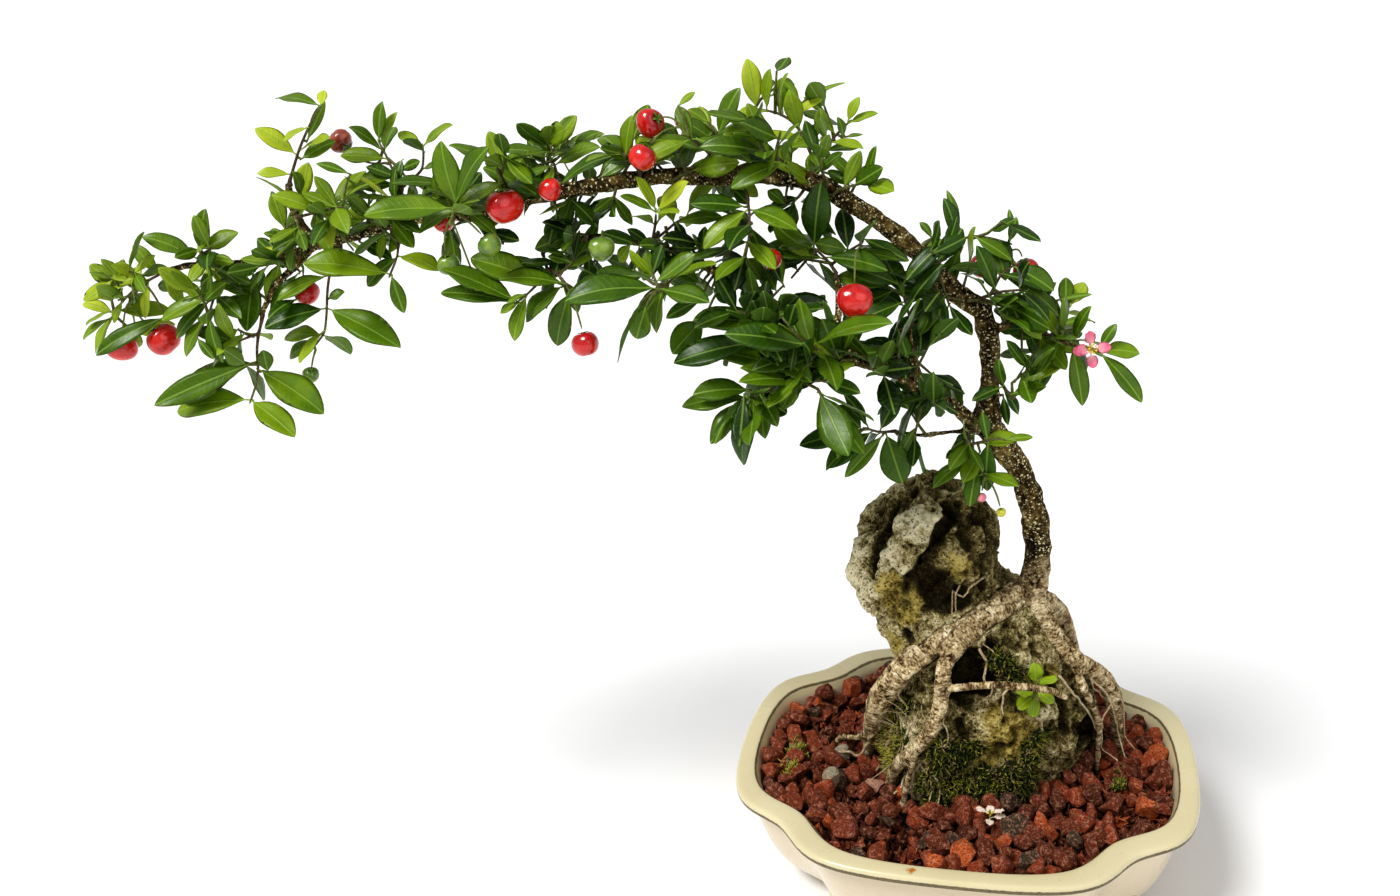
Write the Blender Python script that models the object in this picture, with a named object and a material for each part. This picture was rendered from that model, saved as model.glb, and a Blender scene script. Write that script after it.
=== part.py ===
"""Malpighia bonsai, root over rock, in a glazed mokko pot.

The tree grips a porous rock with its roots and sends one long arching branch out to the left. Its leaves,
cherries and flowers hang from that branch, and the rock stands in red lava gravel on soil.

Every size is in millimetres, measured from the middle of the pot at the height of the surface it stands on:
+X to the right, +Y away from the viewer, +Z up. Meshes are scaled to metres as they are made.
"""

import math
import random
from dataclasses import dataclass, field

import bmesh
import bpy
from mathutils import Matrix, Vector, noise
from mathutils.bvhtree import BVHTree

MM = 0.001
POT_FROM_ORIGIN = 188.0
GAP = 0.3
CLEARANCE = GAP + 0.1
CUT_MARGIN = 5.0
UP = Vector((0.0, 0.0, 1.0))

# Pot
POT_HALF_WIDTH = 142.0
POT_HALF_DEPTH = 125.0
POT_HEIGHT = 80.0
LOBE_SIDE = 136.0
LOBE_SIDE_DEPTH = 74.0
NOTCH_WIDTH = 96.0
NOTCH_DEPTH = 81.5
LOBE_END = 84.6
LOBE_END_DEPTH = 121.8
OUTLINE_STEPS = 3
FOOT_HEIGHT = 8.0
FOOT_SIZE = (40.0, 30.0)
FOOT_PLACE = (60.0, 46.0)
FOOT_SINK = 2.0
FOOT_SIDES = 8
POST_SQUARENESS = 0.6
FLOOR_TOP = 16.0
OUTER_WALL = [(30.0, FOOT_HEIGHT), (23.0, 15.0), (13.5, 40.0), (7.5, 72.0), (0.8, 74.2), (0.0, 77.0),
              (2.2, POT_HEIGHT)]
RIM_INSIDE = [(10.8, POT_HEIGHT), (14.0, 73.0)]
INNER_WALL = [(16.0, 52.0), (24.0, 31.0)]
FLOOR_INSET = 34.0
DRAIN_RADIUS = 11.0
DRAIN_SIDES = 12
DRAIN_CUT = (1.0, 25.0)
MESH_SIZE = 30.0
MESH_THICKNESS = 1.2
MESH_CELLS = 5

# Soil and gravel
SOIL_TOP = 60.0
SOIL_CLEARANCE = 0.6
SOIL_TOP_INSET = 16.4
GRAVEL_INSET = 15.6
GRAVEL_SEED = 11
GRAVEL_GROOVE = 68.5
GROOVE_VARIATION = 1.0
STONE_TILT = 0.16
STONE_TOP = 74.5
STONE_RISE = 2.4
STONE_CELL = 22.0
STONE_JITTER = 4.2
STONE_SHRINK = 0.68

# Rock
ROCK_BOTTOM = 46.0
ROCK_FOOT_TOP = 77.0
ROCK_SIDES = 24
ROCK_STEP = 12.5
ROCK_LUMP = 7.0
ROCK_LUMP_SIZE = 30.0
ROCK_LUMP_SHIFT = Vector((3.1, 0.4, 7.7))
ROCK_PIT = 3.6
ROCK_PIT_SIZE = 11.0
ROCK_SMOOTH_HEIGHT = 16.0
ROCK_FULL_REACH = 25.0
ROCK_PEAK = 3.0
HOLLOW_ROUGHNESS = 0.25

# Tree
ROOT_BED = 0.42
ROUTE_STEP = 14.0
TRUNK_SIDES = 8
ROOT_SIDES = 6
TWIG_SIDES = 5
TRUNK_ROUGHNESS = 0.16
BRANCH_ROUGHNESS = 0.1
ROOT_ROUGHNESS = 0.14
SLIM_ROOT_ROUGHNESS = 0.08
SLIM_ROOT = 4.0
BARK_LUMP_SIZE = 6.0

# Leafy twigs
TWIG_START_RADIUS = 1.35
TWIG_END_RADIUS = 0.95
TWIG_STEP = 12.0
TWIG_TIP = 1.8
LEAF_FOOT = 1.25
NODE_SPACING = 3.1
FACING = 0.25
FACING_COST = 2.0
SHIFT_COST = 0.25
BLADE_THICKNESS = 1.0
BLADE_CLEARANCE = 0.45
BLADE_KEEL = 0.16
BLADE_ARCH = (0.04, 0.1)
BLADE_WIDTHS = (0.92, 1.12)
BLADE_TURNS = (0, 9, -9, 18, -18, 28, -28)
BLADE_LIFTS = (0, 12, -12, 24, -24, 38, -38, 54, -54)
BLADE_REACHES = (1.0, 0.88, 0.76, 0.62)
TURN_COST = 1.2
LIFT_COST = 0.6
REACH_COST = 70.0
SKYWARD = Vector((0.0, -1.0, 0.3))
LEAF_SHAPE = ((0.2, 0.7), (0.5, 1.0), (0.8, 0.64))
SHORT_LEAF_SHAPE = ((0.28, 0.86), (0.66, 0.88))
PETAL_SHAPE = ((0.42, 0.34), (0.86, 1.0))
ROUND_SHAPE = ((0.3, 0.84), (0.76, 0.92))
LEAF_WIDTH_RATIO = 0.42
SHORT_LEAF = 28.0
FRUIT_RINGS = (28.0, 66.0, 112.0, 152.0)
SMALL_FRUIT_RINGS = (35.0, 90.0, 145.0)
SMALL_FRUIT = 13.2
FRUIT_HEIGHT = 0.9
FRUIT_LOBE = 0.035
FRUIT_SIDES = 8
STALK_RADIUS = 0.85
PAIR_STALK_RADIUS = 0.8

GLAZE = ("cream_glaze", (0.76, 0.68, 0.50), 0.28)
MESH_PLASTIC = ("dark_plastic", (0.03, 0.03, 0.03), 0.6)
SOIL_EARTH = ("soil", (0.09, 0.06, 0.04), 0.95)
LAVA = ("lava_gravel", (0.30, 0.09, 0.06), 0.9)
LIMESTONE = ("rock", (0.27, 0.24, 0.16), 0.95)
BARK = ("bark", (0.16, 0.10, 0.06), 0.9)
LEAF_DARK = ("leaf_dark", (0.05, 0.16, 0.02), 0.35)
LEAF_GREEN = ("leaf_green", (0.10, 0.27, 0.03), 0.35)
LEAF_YOUNG = ("leaf_young", (0.24, 0.42, 0.03), 0.4)
CHERRY_RED = ("cherry_red", (0.62, 0.01, 0.01), 0.15)
CHERRY_BROWN = ("cherry_brown", (0.35, 0.06, 0.03), 0.45)
CHERRY_GREEN = ("cherry_green", (0.16, 0.28, 0.04), 0.3)
PETAL_PINK = ("petal_pink", (0.82, 0.30, 0.42), 0.5)
PETAL_PALE = ("petal_pale", (0.85, 0.70, 0.64), 0.6)
STAMEN_YELLOW = ("stamen_yellow", (0.85, 0.60, 0.05), 0.6)


@dataclass
class Twig:
    """A twig: its route, its leaves as (station, clock, lean, length), its side twigs and its fruit.

    A station runs from 0 at the twig's start to 1 at its end. The clock is the leaf's direction in degrees
    as the viewer sees it, 0 to the right and 90 up, and the lean is how far it points at the viewer.
    """
    route: list
    leaves: list = field(default_factory=list)
    pairs: int = 0
    size: float = 26.0
    twigs: list = field(default_factory=list)
    fruit: float = 0.0
    shape: tuple = LEAF_SHAPE
    ratio: float = LEAF_WIDTH_RATIO
    radius: float = TWIG_START_RADIUS


class Shell:
    """A closed surface under construction, as points and faces in millimetres."""

    def __init__(self):
        self.points = []
        self.faces = []

    def loop(self, points):
        first = len(self.points)
        self.points.extend(Vector(p) for p in points)
        return list(range(first, len(self.points)))

    def matched(self, start, end):
        """The start loop turned so that its points lie nearest to those of the end loop."""
        def cost(turn):
            return sum((self.points[start[(i + turn) % len(start)]] - self.points[end[i]]).length
                       for i in range(len(end)))
        best = min(range(len(start)), key=cost)
        return start[best:] + start[:best]

    def bridge(self, start, end):
        count = len(start)
        for i in range(count):
            j = (i + 1) % count
            self.faces.append((start[i], start[j], end[j]))
            self.faces.append((start[i], end[j], end[i]))

    def bridge_blade(self, start, end):
        """Joins two four-point sections of a blade, with the same diagonals on both of its faces."""
        left, top, right, bottom = start
        next_left, next_top, next_right, next_bottom = end
        self.faces += [(left, top, next_top), (left, next_top, next_left)]
        self.faces += [(top, right, next_top), (right, next_right, next_top)]
        self.faces += [(right, bottom, next_bottom), (right, next_bottom, next_right)]
        self.faces += [(bottom, left, next_bottom), (left, next_left, next_bottom)]

    def bridge_double(self, start, end):
        """Joins a loop to one with twice as many points."""
        count = len(start)
        for i in range(count):
            j = (i + 1) % count
            near, middle, far = end[2 * i], end[2 * i + 1], end[(2 * i + 2) % len(end)]
            self.faces.append((start[i], middle, near))
            self.faces.append((start[i], start[j], middle))
            self.faces.append((start[j], far, middle))

    def cone(self, loop, tip):
        top = self.loop([tip])[0]
        for i in range(len(loop)):
            self.faces.append((loop[i], loop[(i + 1) % len(loop)], top))

    def cap_start(self, loop):
        self.faces.append(tuple(reversed(loop)))

    def cap_end(self, loop):
        self.faces.append(tuple(loop))

    def tree(self):
        return BVHTree.FromPolygons(self.points, self.faces)


# Scene and materials

def clear_scene():
    for thing in list(bpy.data.objects):
        bpy.data.objects.remove(thing, do_unlink=True)


def material(look):
    name, colour, roughness = look
    if name in bpy.data.materials:
        return bpy.data.materials[name]
    made = bpy.data.materials.new(name)
    made.use_nodes = True
    shader = made.node_tree.nodes["Principled BSDF"]
    shader.inputs["Base Color"].default_value = (*colour, 1.0)
    shader.inputs["Roughness"].default_value = roughness
    shader.inputs["Metallic"].default_value = 0.0
    made.diffuse_color = (*colour, 1.0)
    return made


def solid(name, shell, look):
    mesh = bpy.data.meshes.new(name)
    mesh.from_pydata([p * MM for p in shell.points], [], shell.faces)
    mesh.update()
    made = bpy.data.objects.new(name, mesh)
    mesh.materials.append(material(look))
    bpy.context.collection.objects.link(made)
    return made


def surface_tree(thing):
    """A search tree of an object's surface, in millimetres."""
    points = [v.co / MM for v in thing.data.vertices]
    return BVHTree.FromPolygons(points, [tuple(p.vertices) for p in thing.data.polygons])


def boolean(target, others, operation, solver="EXACT"):
    """Unites, cuts or clips the target with the other objects, which are then removed."""
    shelf = bpy.data.collections.new("shelf")
    bpy.context.scene.collection.children.link(shelf)
    for other in others:
        bpy.context.collection.objects.unlink(other)
        shelf.objects.link(other)
    change = target.modifiers.new("shape", "BOOLEAN")
    change.operation = operation
    change.solver = solver
    if len(others) == 1:
        change.object = others[0]
    else:
        change.operand_type = "COLLECTION"
        change.collection = shelf
    depsgraph = bpy.context.evaluated_depsgraph_get()
    shaped = bpy.data.meshes.new_from_object(target.evaluated_get(depsgraph))
    target.modifiers.clear()
    target.data = shaped
    for other in others:
        bpy.data.objects.remove(other, do_unlink=True)
    bpy.data.collections.remove(shelf)
    return target


def keep_main_body(target):
    """Drops the loose scraps that a cut leaves beside the main body."""
    body = bmesh.new()
    body.from_mesh(target.data)
    unseen = set(body.verts)
    islands = []
    while unseen:
        front = [unseen.pop()]
        island = list(front)
        while front:
            for edge in front.pop().link_edges:
                for vert in edge.verts:
                    if vert in unseen:
                        unseen.discard(vert)
                        front.append(vert)
                        island.append(vert)
        islands.append(island)
    islands.sort(key=len)
    for island in islands[:-1]:
        bmesh.ops.delete(body, geom=island, context="VERTS")
    body.to_mesh(target.data)
    body.free()


# Curves and tubes

def smooth_route(points, step):
    """Points about one step apart on the smooth curve through the given ones, radius included if held."""
    held = [Vector(p) for p in points]
    held = [held[0] * 2.0 - held[1]] + held + [held[-1] * 2.0 - held[-2]]
    curve = []
    for a, b, c, d in zip(held, held[1:], held[2:], held[3:]):
        count = max(1, round((Vector(c[:3]) - Vector(b[:3])).length / step))
        for k in range(count):
            t = k / count
            curve.append(0.5 * (2.0 * b + (c - a) * t + (2.0 * a - 5.0 * b + 4.0 * c - d) * t ** 2
                                + (3.0 * b - a - 3.0 * c + d) * t ** 3))
    curve.append(held[-2])
    return curve


def frames_along(points):
    """For each point of a route, its direction and two cross directions that don't twist."""
    frames = []
    side = None
    for i, point in enumerate(points):
        ahead = points[min(i + 1, len(points) - 1)] - points[max(i - 1, 0)]
        ahead.normalize()
        if side is None:
            side = UP.cross(ahead) if abs(ahead.z) < 0.9 else Vector((0.0, -1.0, 0.0)).cross(ahead)
        side = side - ahead * side.dot(ahead)
        side.normalize()
        frames.append((point, ahead, side, ahead.cross(side)))
    return frames


def tube(route, sides, swell=0.0, rough=0.0, step=ROUTE_STEP):
    """A closed tube along (x, y, z, radius) points, with a bark of small bumps, swollen for a cutter."""
    curve = smooth_route(route, step)
    points = [Vector(p[:3]) for p in curve]
    shell = Shell()
    last = None
    for k, (point, ahead, side, over) in enumerate(frames_along(points)):
        if k == 0:
            point = point - ahead * swell
        if k == len(points) - 1:
            point = point + ahead * swell
        ring = []
        for i in range(sides):
            angle = math.tau * i / sides
            out = side * math.cos(angle) + over * math.sin(angle)
            bump = 1.0 + rough * noise.noise((point + out * curve[k][3]) / BARK_LUMP_SIZE)
            ring.append(point + out * (curve[k][3] * bump + swell / math.cos(math.pi / sides)))
        loop = shell.loop(ring)
        if last is None:
            shell.cap_start(loop)
        else:
            shell.bridge(last, loop)
        last = loop
    shell.cap_end(last)
    return shell


# Pot

def outline(inset):
    """The mokko outline: a closed uniform B-spline round four lobes and four notches, moved inwards."""
    quarter = [(POT_HALF_WIDTH, 0.0), (LOBE_SIDE, LOBE_SIDE_DEPTH), (NOTCH_WIDTH, NOTCH_DEPTH),
               (LOBE_END, LOBE_END_DEPTH), (0.0, POT_HALF_DEPTH)]
    moved = [(x - inset if x else 0.0, y - inset if y else 0.0) for x, y in quarter]
    half = moved + [(-x, y) for x, y in reversed(moved[1:-1])]
    ring = half + [(-x, -y) for x, y in half]
    points = []
    for i in range(len(ring)):
        a, b, c, d = (Vector(ring[(i + k - 1) % len(ring)]) for k in range(4))
        for k in range(OUTLINE_STEPS):
            t = k / OUTLINE_STEPS
            points.append((a * (1 - t) ** 3 + b * (3 * t ** 3 - 6 * t ** 2 + 4)
                           + c * (-3 * t ** 3 + 3 * t ** 2 + 3 * t + 1) + d * t ** 3) / 6.0)
    return points


def outline_prism(rings):
    """A closed solid whose level rings are (inset, height) pairs, from the first ring to the last."""
    shell = Shell()
    last = None
    for inset, height in rings:
        loop = shell.loop([(p.x, p.y, height) for p in outline(inset)])
        if last is None:
            shell.cap_start(loop)
        else:
            shell.bridge(last, loop)
        last = loop
    shell.cap_end(last)
    return shell


def post(centre, size, bottom, top, sides):
    """An upright post with a rounded-rectangle plan."""
    shell = Shell()
    loops = []
    for height in (bottom, top):
        ring = []
        for i in range(sides):
            angle = math.tau * (i + 0.5) / sides
            cosine, sine = math.cos(angle), math.sin(angle)
            across = math.copysign(abs(cosine) ** POST_SQUARENESS, cosine)
            deep = math.copysign(abs(sine) ** POST_SQUARENESS, sine)
            ring.append((centre[0] + 0.5 * size[0] * across, centre[1] + 0.5 * size[1] * deep, height))
        loops.append(shell.loop(ring))
    shell.cap_start(loops[0])
    shell.bridge(*loops)
    shell.cap_end(loops[1])
    return shell


def make_pot():
    """The pot: its walls as one turned outline, four feet joined on and the drain hole cut through."""
    inside = RIM_INSIDE + INNER_WALL + [(FLOOR_INSET, FLOOR_TOP)]
    pot = solid("pot", outline_prism(OUTER_WALL + inside), GLAZE)
    feet = []
    for across in (-1, 1):
        for deep in (-1, 1):
            place = (across * FOOT_PLACE[0], deep * FOOT_PLACE[1])
            shape = post(place, FOOT_SIZE, 0.0, FOOT_HEIGHT + FOOT_SINK, FOOT_SIDES)
            feet.append(solid("foot", shape, GLAZE))
    boolean(pot, feet, "UNION")
    drain = post((0.0, 0.0), (2.0 * DRAIN_RADIUS, 2.0 * DRAIN_RADIUS), *DRAIN_CUT, DRAIN_SIDES)
    boolean(pot, [solid("drain", drain, GLAZE)], "DIFFERENCE")
    return pot


def make_drain_mesh():
    """A square of plastic mesh over the drain hole, as a plate with square holes."""
    body = bmesh.new()
    bmesh.ops.create_grid(body, x_segments=MESH_CELLS, y_segments=MESH_CELLS, size=0.5 * MESH_SIZE * MM)
    cell = MESH_SIZE * MM / MESH_CELLS
    holes = [f for f in body.faces
             if all(round(c / cell) % 2 == 1 for c in f.calc_center_median().xy)]
    bmesh.ops.delete(body, geom=holes, context="FACES")
    raised = bmesh.ops.extrude_face_region(body, geom=body.faces[:])
    upper = [v for v in raised["geom"] if isinstance(v, bmesh.types.BMVert)]
    bmesh.ops.translate(body, verts=upper, vec=(0.0, 0.0, MESH_THICKNESS * MM))
    bmesh.ops.translate(body, verts=body.verts[:], vec=(0.0, 0.0, (FLOOR_TOP + GAP) * MM))
    bmesh.ops.recalc_face_normals(body, faces=body.faces[:])
    mesh = bpy.data.meshes.new("drain_mesh")
    body.to_mesh(mesh)
    body.free()
    mesh.materials.append(material(MESH_PLASTIC))
    made = bpy.data.objects.new("drain_mesh", mesh)
    bpy.context.collection.objects.link(made)
    return made


# Rock

# Each level: height, centre x and y, then the reach to the east, north-east, north and so on round.
ROCK_LEVELS = [
    (ROCK_BOTTOM, 20, 5, (50, 80, 55, 62, 72, 66, 46, 40)),
    (ROCK_FOOT_TOP, 20, 5, (50, 80, 55, 62, 72, 66, 46, 40)),
    (110, 18, 4, (62, 74, 50, 58, 64, 60, 43, 46)),
    (150, 10, 3, (53, 58, 44, 50, 55, 50, 38, 44)),
    (172, 4, 4, (55, 56, 42, 50, 60, 48, 34, 42)),
    (184, -6, 5, (54, 50, 40, 48, 57, 46, 33, 38)),
    (197, -20, 6, (46, 42, 37, 43, 47, 43, 34, 36)),
    (222, -22, 8, (47, 38, 33, 39, 46, 42, 34, 36)),
    (242, -22, 10, (41, 34, 29, 31, 36, 33, 30, 33)),
    (254, -17, 12, (28, 24, 21, 21, 22, 21, 22, 24)),
    (264, -18, 13, (10, 9, 9, 9, 9, 9, 9, 9)),
]

# Each hollow: centre, half sizes, and turns about Y and X in degrees.
ROCK_HOLLOWS = [
    ((-7, -32, 226), (5, 15, 33), (16, 6)),
    ((6, -33, 215), (7, 12, 10), (0, 0)),
    ((-51, -30, 224), (5, 11, 10), (20, 0)),
    ((7, -36, 150), (17, 22, 17), (0, 0)),
    ((22, -30, 178), (9, 10, 7), (20, 0)),
    ((76, -14, 104), (9, 15, 20), (10, 0)),
    ((-38, 40, 205), (8, 12, 16), (15, 0)),
    ((20, 48, 150), (12, 12, 16), (-20, 0)),
]


def rock_reach(height, bearing):
    """The rock's centre and reach at a height and bearing, smooth between its levels."""
    levels = ROCK_LEVELS
    above = next((i for i, level in enumerate(levels) if level[0] >= height), len(levels) - 1)
    low, high = levels[max(above - 1, 0)], levels[above]
    span = max(high[0] - low[0], 1e-6)
    t = min(max((height - low[0]) / span, 0.0), 1.0)
    sector = bearing / math.tau * 8.0
    first = int(sector) % 8
    u = sector - int(sector)
    blend = u * u * (3.0 - 2.0 * u)
    reach_low = low[3][first] * (1.0 - blend) + low[3][(first + 1) % 8] * blend
    reach_high = high[3][first] * (1.0 - blend) + high[3][(first + 1) % 8] * blend
    centre = Vector((low[1], low[2], 0.0)).lerp(Vector((high[1], high[2], 0.0)), t)
    return centre, reach_low * (1.0 - t) + reach_high * t


def rock_foot(margin, bottom, top):
    """An upright prism round the rock's footing, a margin wider than it."""
    shell = Shell()
    loops = []
    for height in (bottom, top):
        ring = []
        for i in range(ROCK_SIDES):
            bearing = math.tau * i / ROCK_SIDES
            centre, reach = rock_reach(ROCK_BOTTOM, bearing)
            out = Vector((math.cos(bearing), math.sin(bearing), 0.0))
            ring.append(centre + out * (reach + margin) + UP * height)
        loops.append(shell.loop(ring))
    shell.cap_start(loops[0])
    shell.bridge(*loops)
    shell.cap_end(loops[1])
    return shell


def rock_shell():
    heights = [ROCK_BOTTOM, ROCK_FOOT_TOP]
    count = round((ROCK_LEVELS[-1][0] - ROCK_FOOT_TOP) / ROCK_STEP)
    heights += [ROCK_FOOT_TOP + (ROCK_LEVELS[-1][0] - ROCK_FOOT_TOP) * (k + 1) / count for k in range(count)]
    shell = Shell()
    last = None
    for height in heights:
        wild = min(max((height - ROCK_FOOT_TOP) / ROCK_SMOOTH_HEIGHT, 0.0), 1.0)
        ring = []
        for i in range(ROCK_SIDES):
            bearing = math.tau * i / ROCK_SIDES
            centre, reach = rock_reach(height, bearing)
            out = Vector((math.cos(bearing), math.sin(bearing), 0.0))
            point = centre + out * reach + UP * height
            lump = ROCK_LUMP * noise.noise(point / ROCK_LUMP_SIZE + ROCK_LUMP_SHIFT)
            pit = ROCK_PIT * (0.6 - 2.0 * abs(noise.noise(point / ROCK_PIT_SIZE)))
            ring.append(point + out * wild * min(1.0, reach / ROCK_FULL_REACH) * (lump + pit))
        loop = shell.loop(ring)
        if last is None:
            shell.cap_start(loop)
        else:
            shell.bridge(last, loop)
        last = loop
    top = sum((shell.points[i] for i in last), Vector()) / len(last)
    shell.cone(last, top + UP * ROCK_PEAK)
    return shell


def hollow(centre, half, turns):
    """A rough ball for a hollow in the rock."""
    body = bmesh.new()
    bmesh.ops.create_icosphere(body, subdivisions=1, radius=1.0)
    place = (Matrix.Translation(centre) @ Matrix.Rotation(math.radians(turns[0]), 4, "Y")
             @ Matrix.Rotation(math.radians(turns[1]), 4, "X") @ Matrix.Diagonal((*half, 1.0)))
    shell = Shell()
    for vert in body.verts:
        swell = 1.0 + HOLLOW_ROUGHNESS * noise.noise(vert.co * 2.0 + Vector(centre))
        shell.loop([place @ (vert.co * swell)])
    shell.faces = [tuple(v.index for v in f.verts) for f in body.faces]
    body.free()
    return shell


def make_rock(wood):
    rock = solid("rock", rock_shell(), LIMESTONE)
    boolean(rock, [solid("hollow", hollow(*h), LIMESTONE) for h in ROCK_HOLLOWS], "DIFFERENCE")
    boolean(rock, wood_beds(wood), "DIFFERENCE")
    keep_main_body(rock)
    return rock


# Tree: trunk, branches and roots, as (x, y, z, radius) points

TRUNK = [(40, 6, 174, 10.5), (40, 4, 193, 9.2), (43, 6, 208, 8.0), (44, 8, 221, 7.4), (42, 8, 241, 7.8),
         (39, 6, 255, 7.7), (32, 3, 274, 8.0), (22, 0, 289, 9.0), (15, -2, 301, 9.2), (17, 0, 324, 6.3),
         (16, 0, 350, 5.6), (12, -2, 368, 6.0), (-2, -5, 379, 6.2), (-11, -8, 391, 6.2), (-33, -12, 414, 6.2),
         (-59, -15, 433, 6.4), (-84, -18, 446, 5.9), (-114, -20, 448, 5.2), (-157, -24, 450, 4.8),
         (-178, -26, 449, 4.8), (-230, -30, 442, 4.7), (-261, -33, 435, 4.5), (-302, -36, 434, 4.6),
         (-340, -38, 425, 4.3), (-366, -40, 420, 3.6), (-374, -41, 415, 2.6)]

BRANCHES = {
    "low": [(15, -2, 300, 6.5), (5, -8, 306, 5.8), (-2, -15, 316, 4.6), (-17, -28, 329, 4.2),
            (-33, -38, 345, 4.0), (-50, -46, 353, 3.6), (-62, -50, 352, 3.1), (-75, -54, 349, 2.7),
            (-92, -60, 344, 2.0)],
    "second": [(-48, -45, 352, 3.0), (-62, -43, 362, 2.9), (-80, -40, 374, 2.8), (-95, -38, 382, 2.7),
               (-122, -35, 397, 2.7), (-148, -32, 409, 2.6), (-170, -31, 416, 2.4), (-194, -30, 419, 2.2),
               (-212, -31, 417, 2.0), (-226, -32, 413, 1.6)],
    "riser_a": [(-59, -49, 351, 2.4), (-62, -44, 364, 2.2), (-61, -35, 378, 2.1), (-62, -30, 394, 1.7)],
    "riser_b": [(-19, -29, 331, 2.4), (-23, -25, 345, 2.3), (-23, -22, 365, 1.7)],
    "burl_left": [(14, -4, 297, 3.6), (-2, -12, 300, 2.2), (-20, -22, 301, 2.0), (-32, -29, 306, 1.5)],
    "burl_down": [(14, -5, 296, 3.4), (8, -14, 301, 2.2), (4, -19, 300, 1.6)],
    "right": [(15, 0, 357, 3.2), (28, 3, 356, 2.4), (42, 5, 354, 1.7)],
    "left_arm": [(-364, -40, 421, 3.2), (-380, -42, 415, 2.9), (-400, -44, 412, 2.6), (-431, -48, 412, 2.2),
                 (-446, -49, 412, 1.9), (-457, -50, 410, 1.5)],
    "left_up": [(-362, -40, 421, 3.2), (-370, -40, 432, 3.0), (-375, -39, 445, 2.5), (-375, -38, 456, 1.7)],
    "left_low": [(-366, -41, 419, 2.9), (-378, -46, 408, 2.5), (-389, -50, 400, 2.2), (-398, -55, 384, 1.6)],
}

ROOTS = {
    "main": [(37, 3, 194, 9.0), (22, -10, 190, 9.0), (1, -22, 181, 8.6), (-18, -30, 169, 8.4),
             (-33, -34, 156, 8.2), (-47, -29, 132, 7.0), (-54, -15, 105, 5.4), (-58, -3, 86, 4.4),
             (-60, 3, 65, 3.2)],
    "second": [(34, -2, 189, 6.5), (15, -20, 185, 5.8), (1, -32, 176, 5.2), (-7, -41, 166, 5.2),
               (-9, -46, 144, 5.1), (-15, -49, 124, 4.9), (-28, -46, 105, 4.6), (-38, -37, 88, 4.0),
               (-43, -30, 65, 2.8)],
    "right": [(43, 2, 188, 7.6), (55, -6, 168, 6.6), (66, -8, 156, 6.2), (79, 0, 143, 6.2),
              (88, 9, 126, 5.6), (93, 15, 104, 4.7), (95, 21, 86, 4.0), (95, 25, 65, 3.0)],
    "back_left": [(34, 10, 188, 6.2), (18, 28, 180, 5.4), (-4, 43, 162, 5.0), (-18, 51, 132, 4.6),
                  (-26, 55, 100, 4.0), (-31, 57, 65, 2.8)],
    "back_right": [(46, 12, 186, 6.4), (56, 27, 169, 5.8), (63, 41, 145, 5.2), (70, 53, 115, 4.6),
                   (77, 60, 88, 4.0), (79, 63, 65, 2.8)],
    "cross": [(-7, -45, 152, 2.4), (12, -47, 157, 2.2), (26, -46, 158, 2.1), (40, -42, 155, 2.1),
              (54, -36, 150, 1.9), (62, -30, 142, 1.5)],
    "fork": [(-24, -47, 110, 2.8), (-27, -48, 96, 2.4), (-30, -46, 82, 2.1), (-33, -43, 65, 1.8)],
    "left_runner": [(-54, -17, 108, 2.8), (-59, -9, 92, 2.3), (-67, 1, 82, 2.0), (-78, 8, 77, 1.9),
                    (-86, 12, 65, 1.7)],
    "right_thin": [(64, -8, 154, 2.6), (72, -13, 138, 2.2), (80, -8, 118, 2.0), (82, 0, 96, 1.8),
                   (82, 6, 65, 1.6)],
}


def wood_tubes():
    """The trunk, branches and roots, as (route, sides, bumps) for tubes that sink into each other."""
    tubes = [(TRUNK, TRUNK_SIDES, TRUNK_ROUGHNESS)]
    tubes += [(route, TWIG_SIDES, BRANCH_ROUGHNESS) for route in BRANCHES.values()]
    for route in ROOTS.values():
        if route[0][3] < SLIM_ROOT:
            tubes.append((route, TWIG_SIDES, SLIM_ROOT_ROUGHNESS))
        else:
            tubes.append((route, ROOT_SIDES, ROOT_ROUGHNESS))
    return tubes


def wood_beds(tubes):
    """The tubes a little swollen, to cut the beds and holes that the wood lies in."""
    return [solid("bed", tube(route, sides, ROOT_BED, rough), BARK) for route, sides, rough in tubes]


def make_tree(tubes):
    trunk, *others = [solid("wood", tube(route, sides, 0.0, rough), BARK) for route, sides, rough in tubes]
    boolean(trunk, others, "UNION")
    trunk.name = "tree"
    trunk.data.name = "tree"
    return trunk


# Soil and gravel

def make_soil():
    """The soil up to the gravel, with a pocket for the rock's footing and a recess for the drain mesh."""
    rings = [(FLOOR_INSET + SOIL_CLEARANCE, FLOOR_TOP + GAP)]
    rings += [(inset + SOIL_CLEARANCE, height) for inset, height in reversed(INNER_WALL)]
    rings.append((SOIL_TOP_INSET, SOIL_TOP))
    soil = solid("soil", outline_prism(rings), SOIL_EARTH)
    pocket = rock_foot(CLEARANCE, ROCK_BOTTOM - GAP, SOIL_TOP + CUT_MARGIN)
    half = 0.5 * MESH_SIZE + GAP
    square = [(-half, -half), (half, -half), (half, half), (-half, half)]
    top = FLOOR_TOP + 2.0 * GAP + MESH_THICKNESS
    recess = Shell()
    low = recess.loop([(x, y, FLOOR_TOP - CUT_MARGIN) for x, y in square])
    high = recess.loop([(x, y, top) for x, y in square])
    recess.cap_start(low)
    recess.bridge(low, high)
    recess.cap_end(high)
    boolean(soil, [solid("pocket", pocket, SOIL_EARTH), solid("recess", recess, SOIL_EARTH)], "DIFFERENCE")
    return soil


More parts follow.
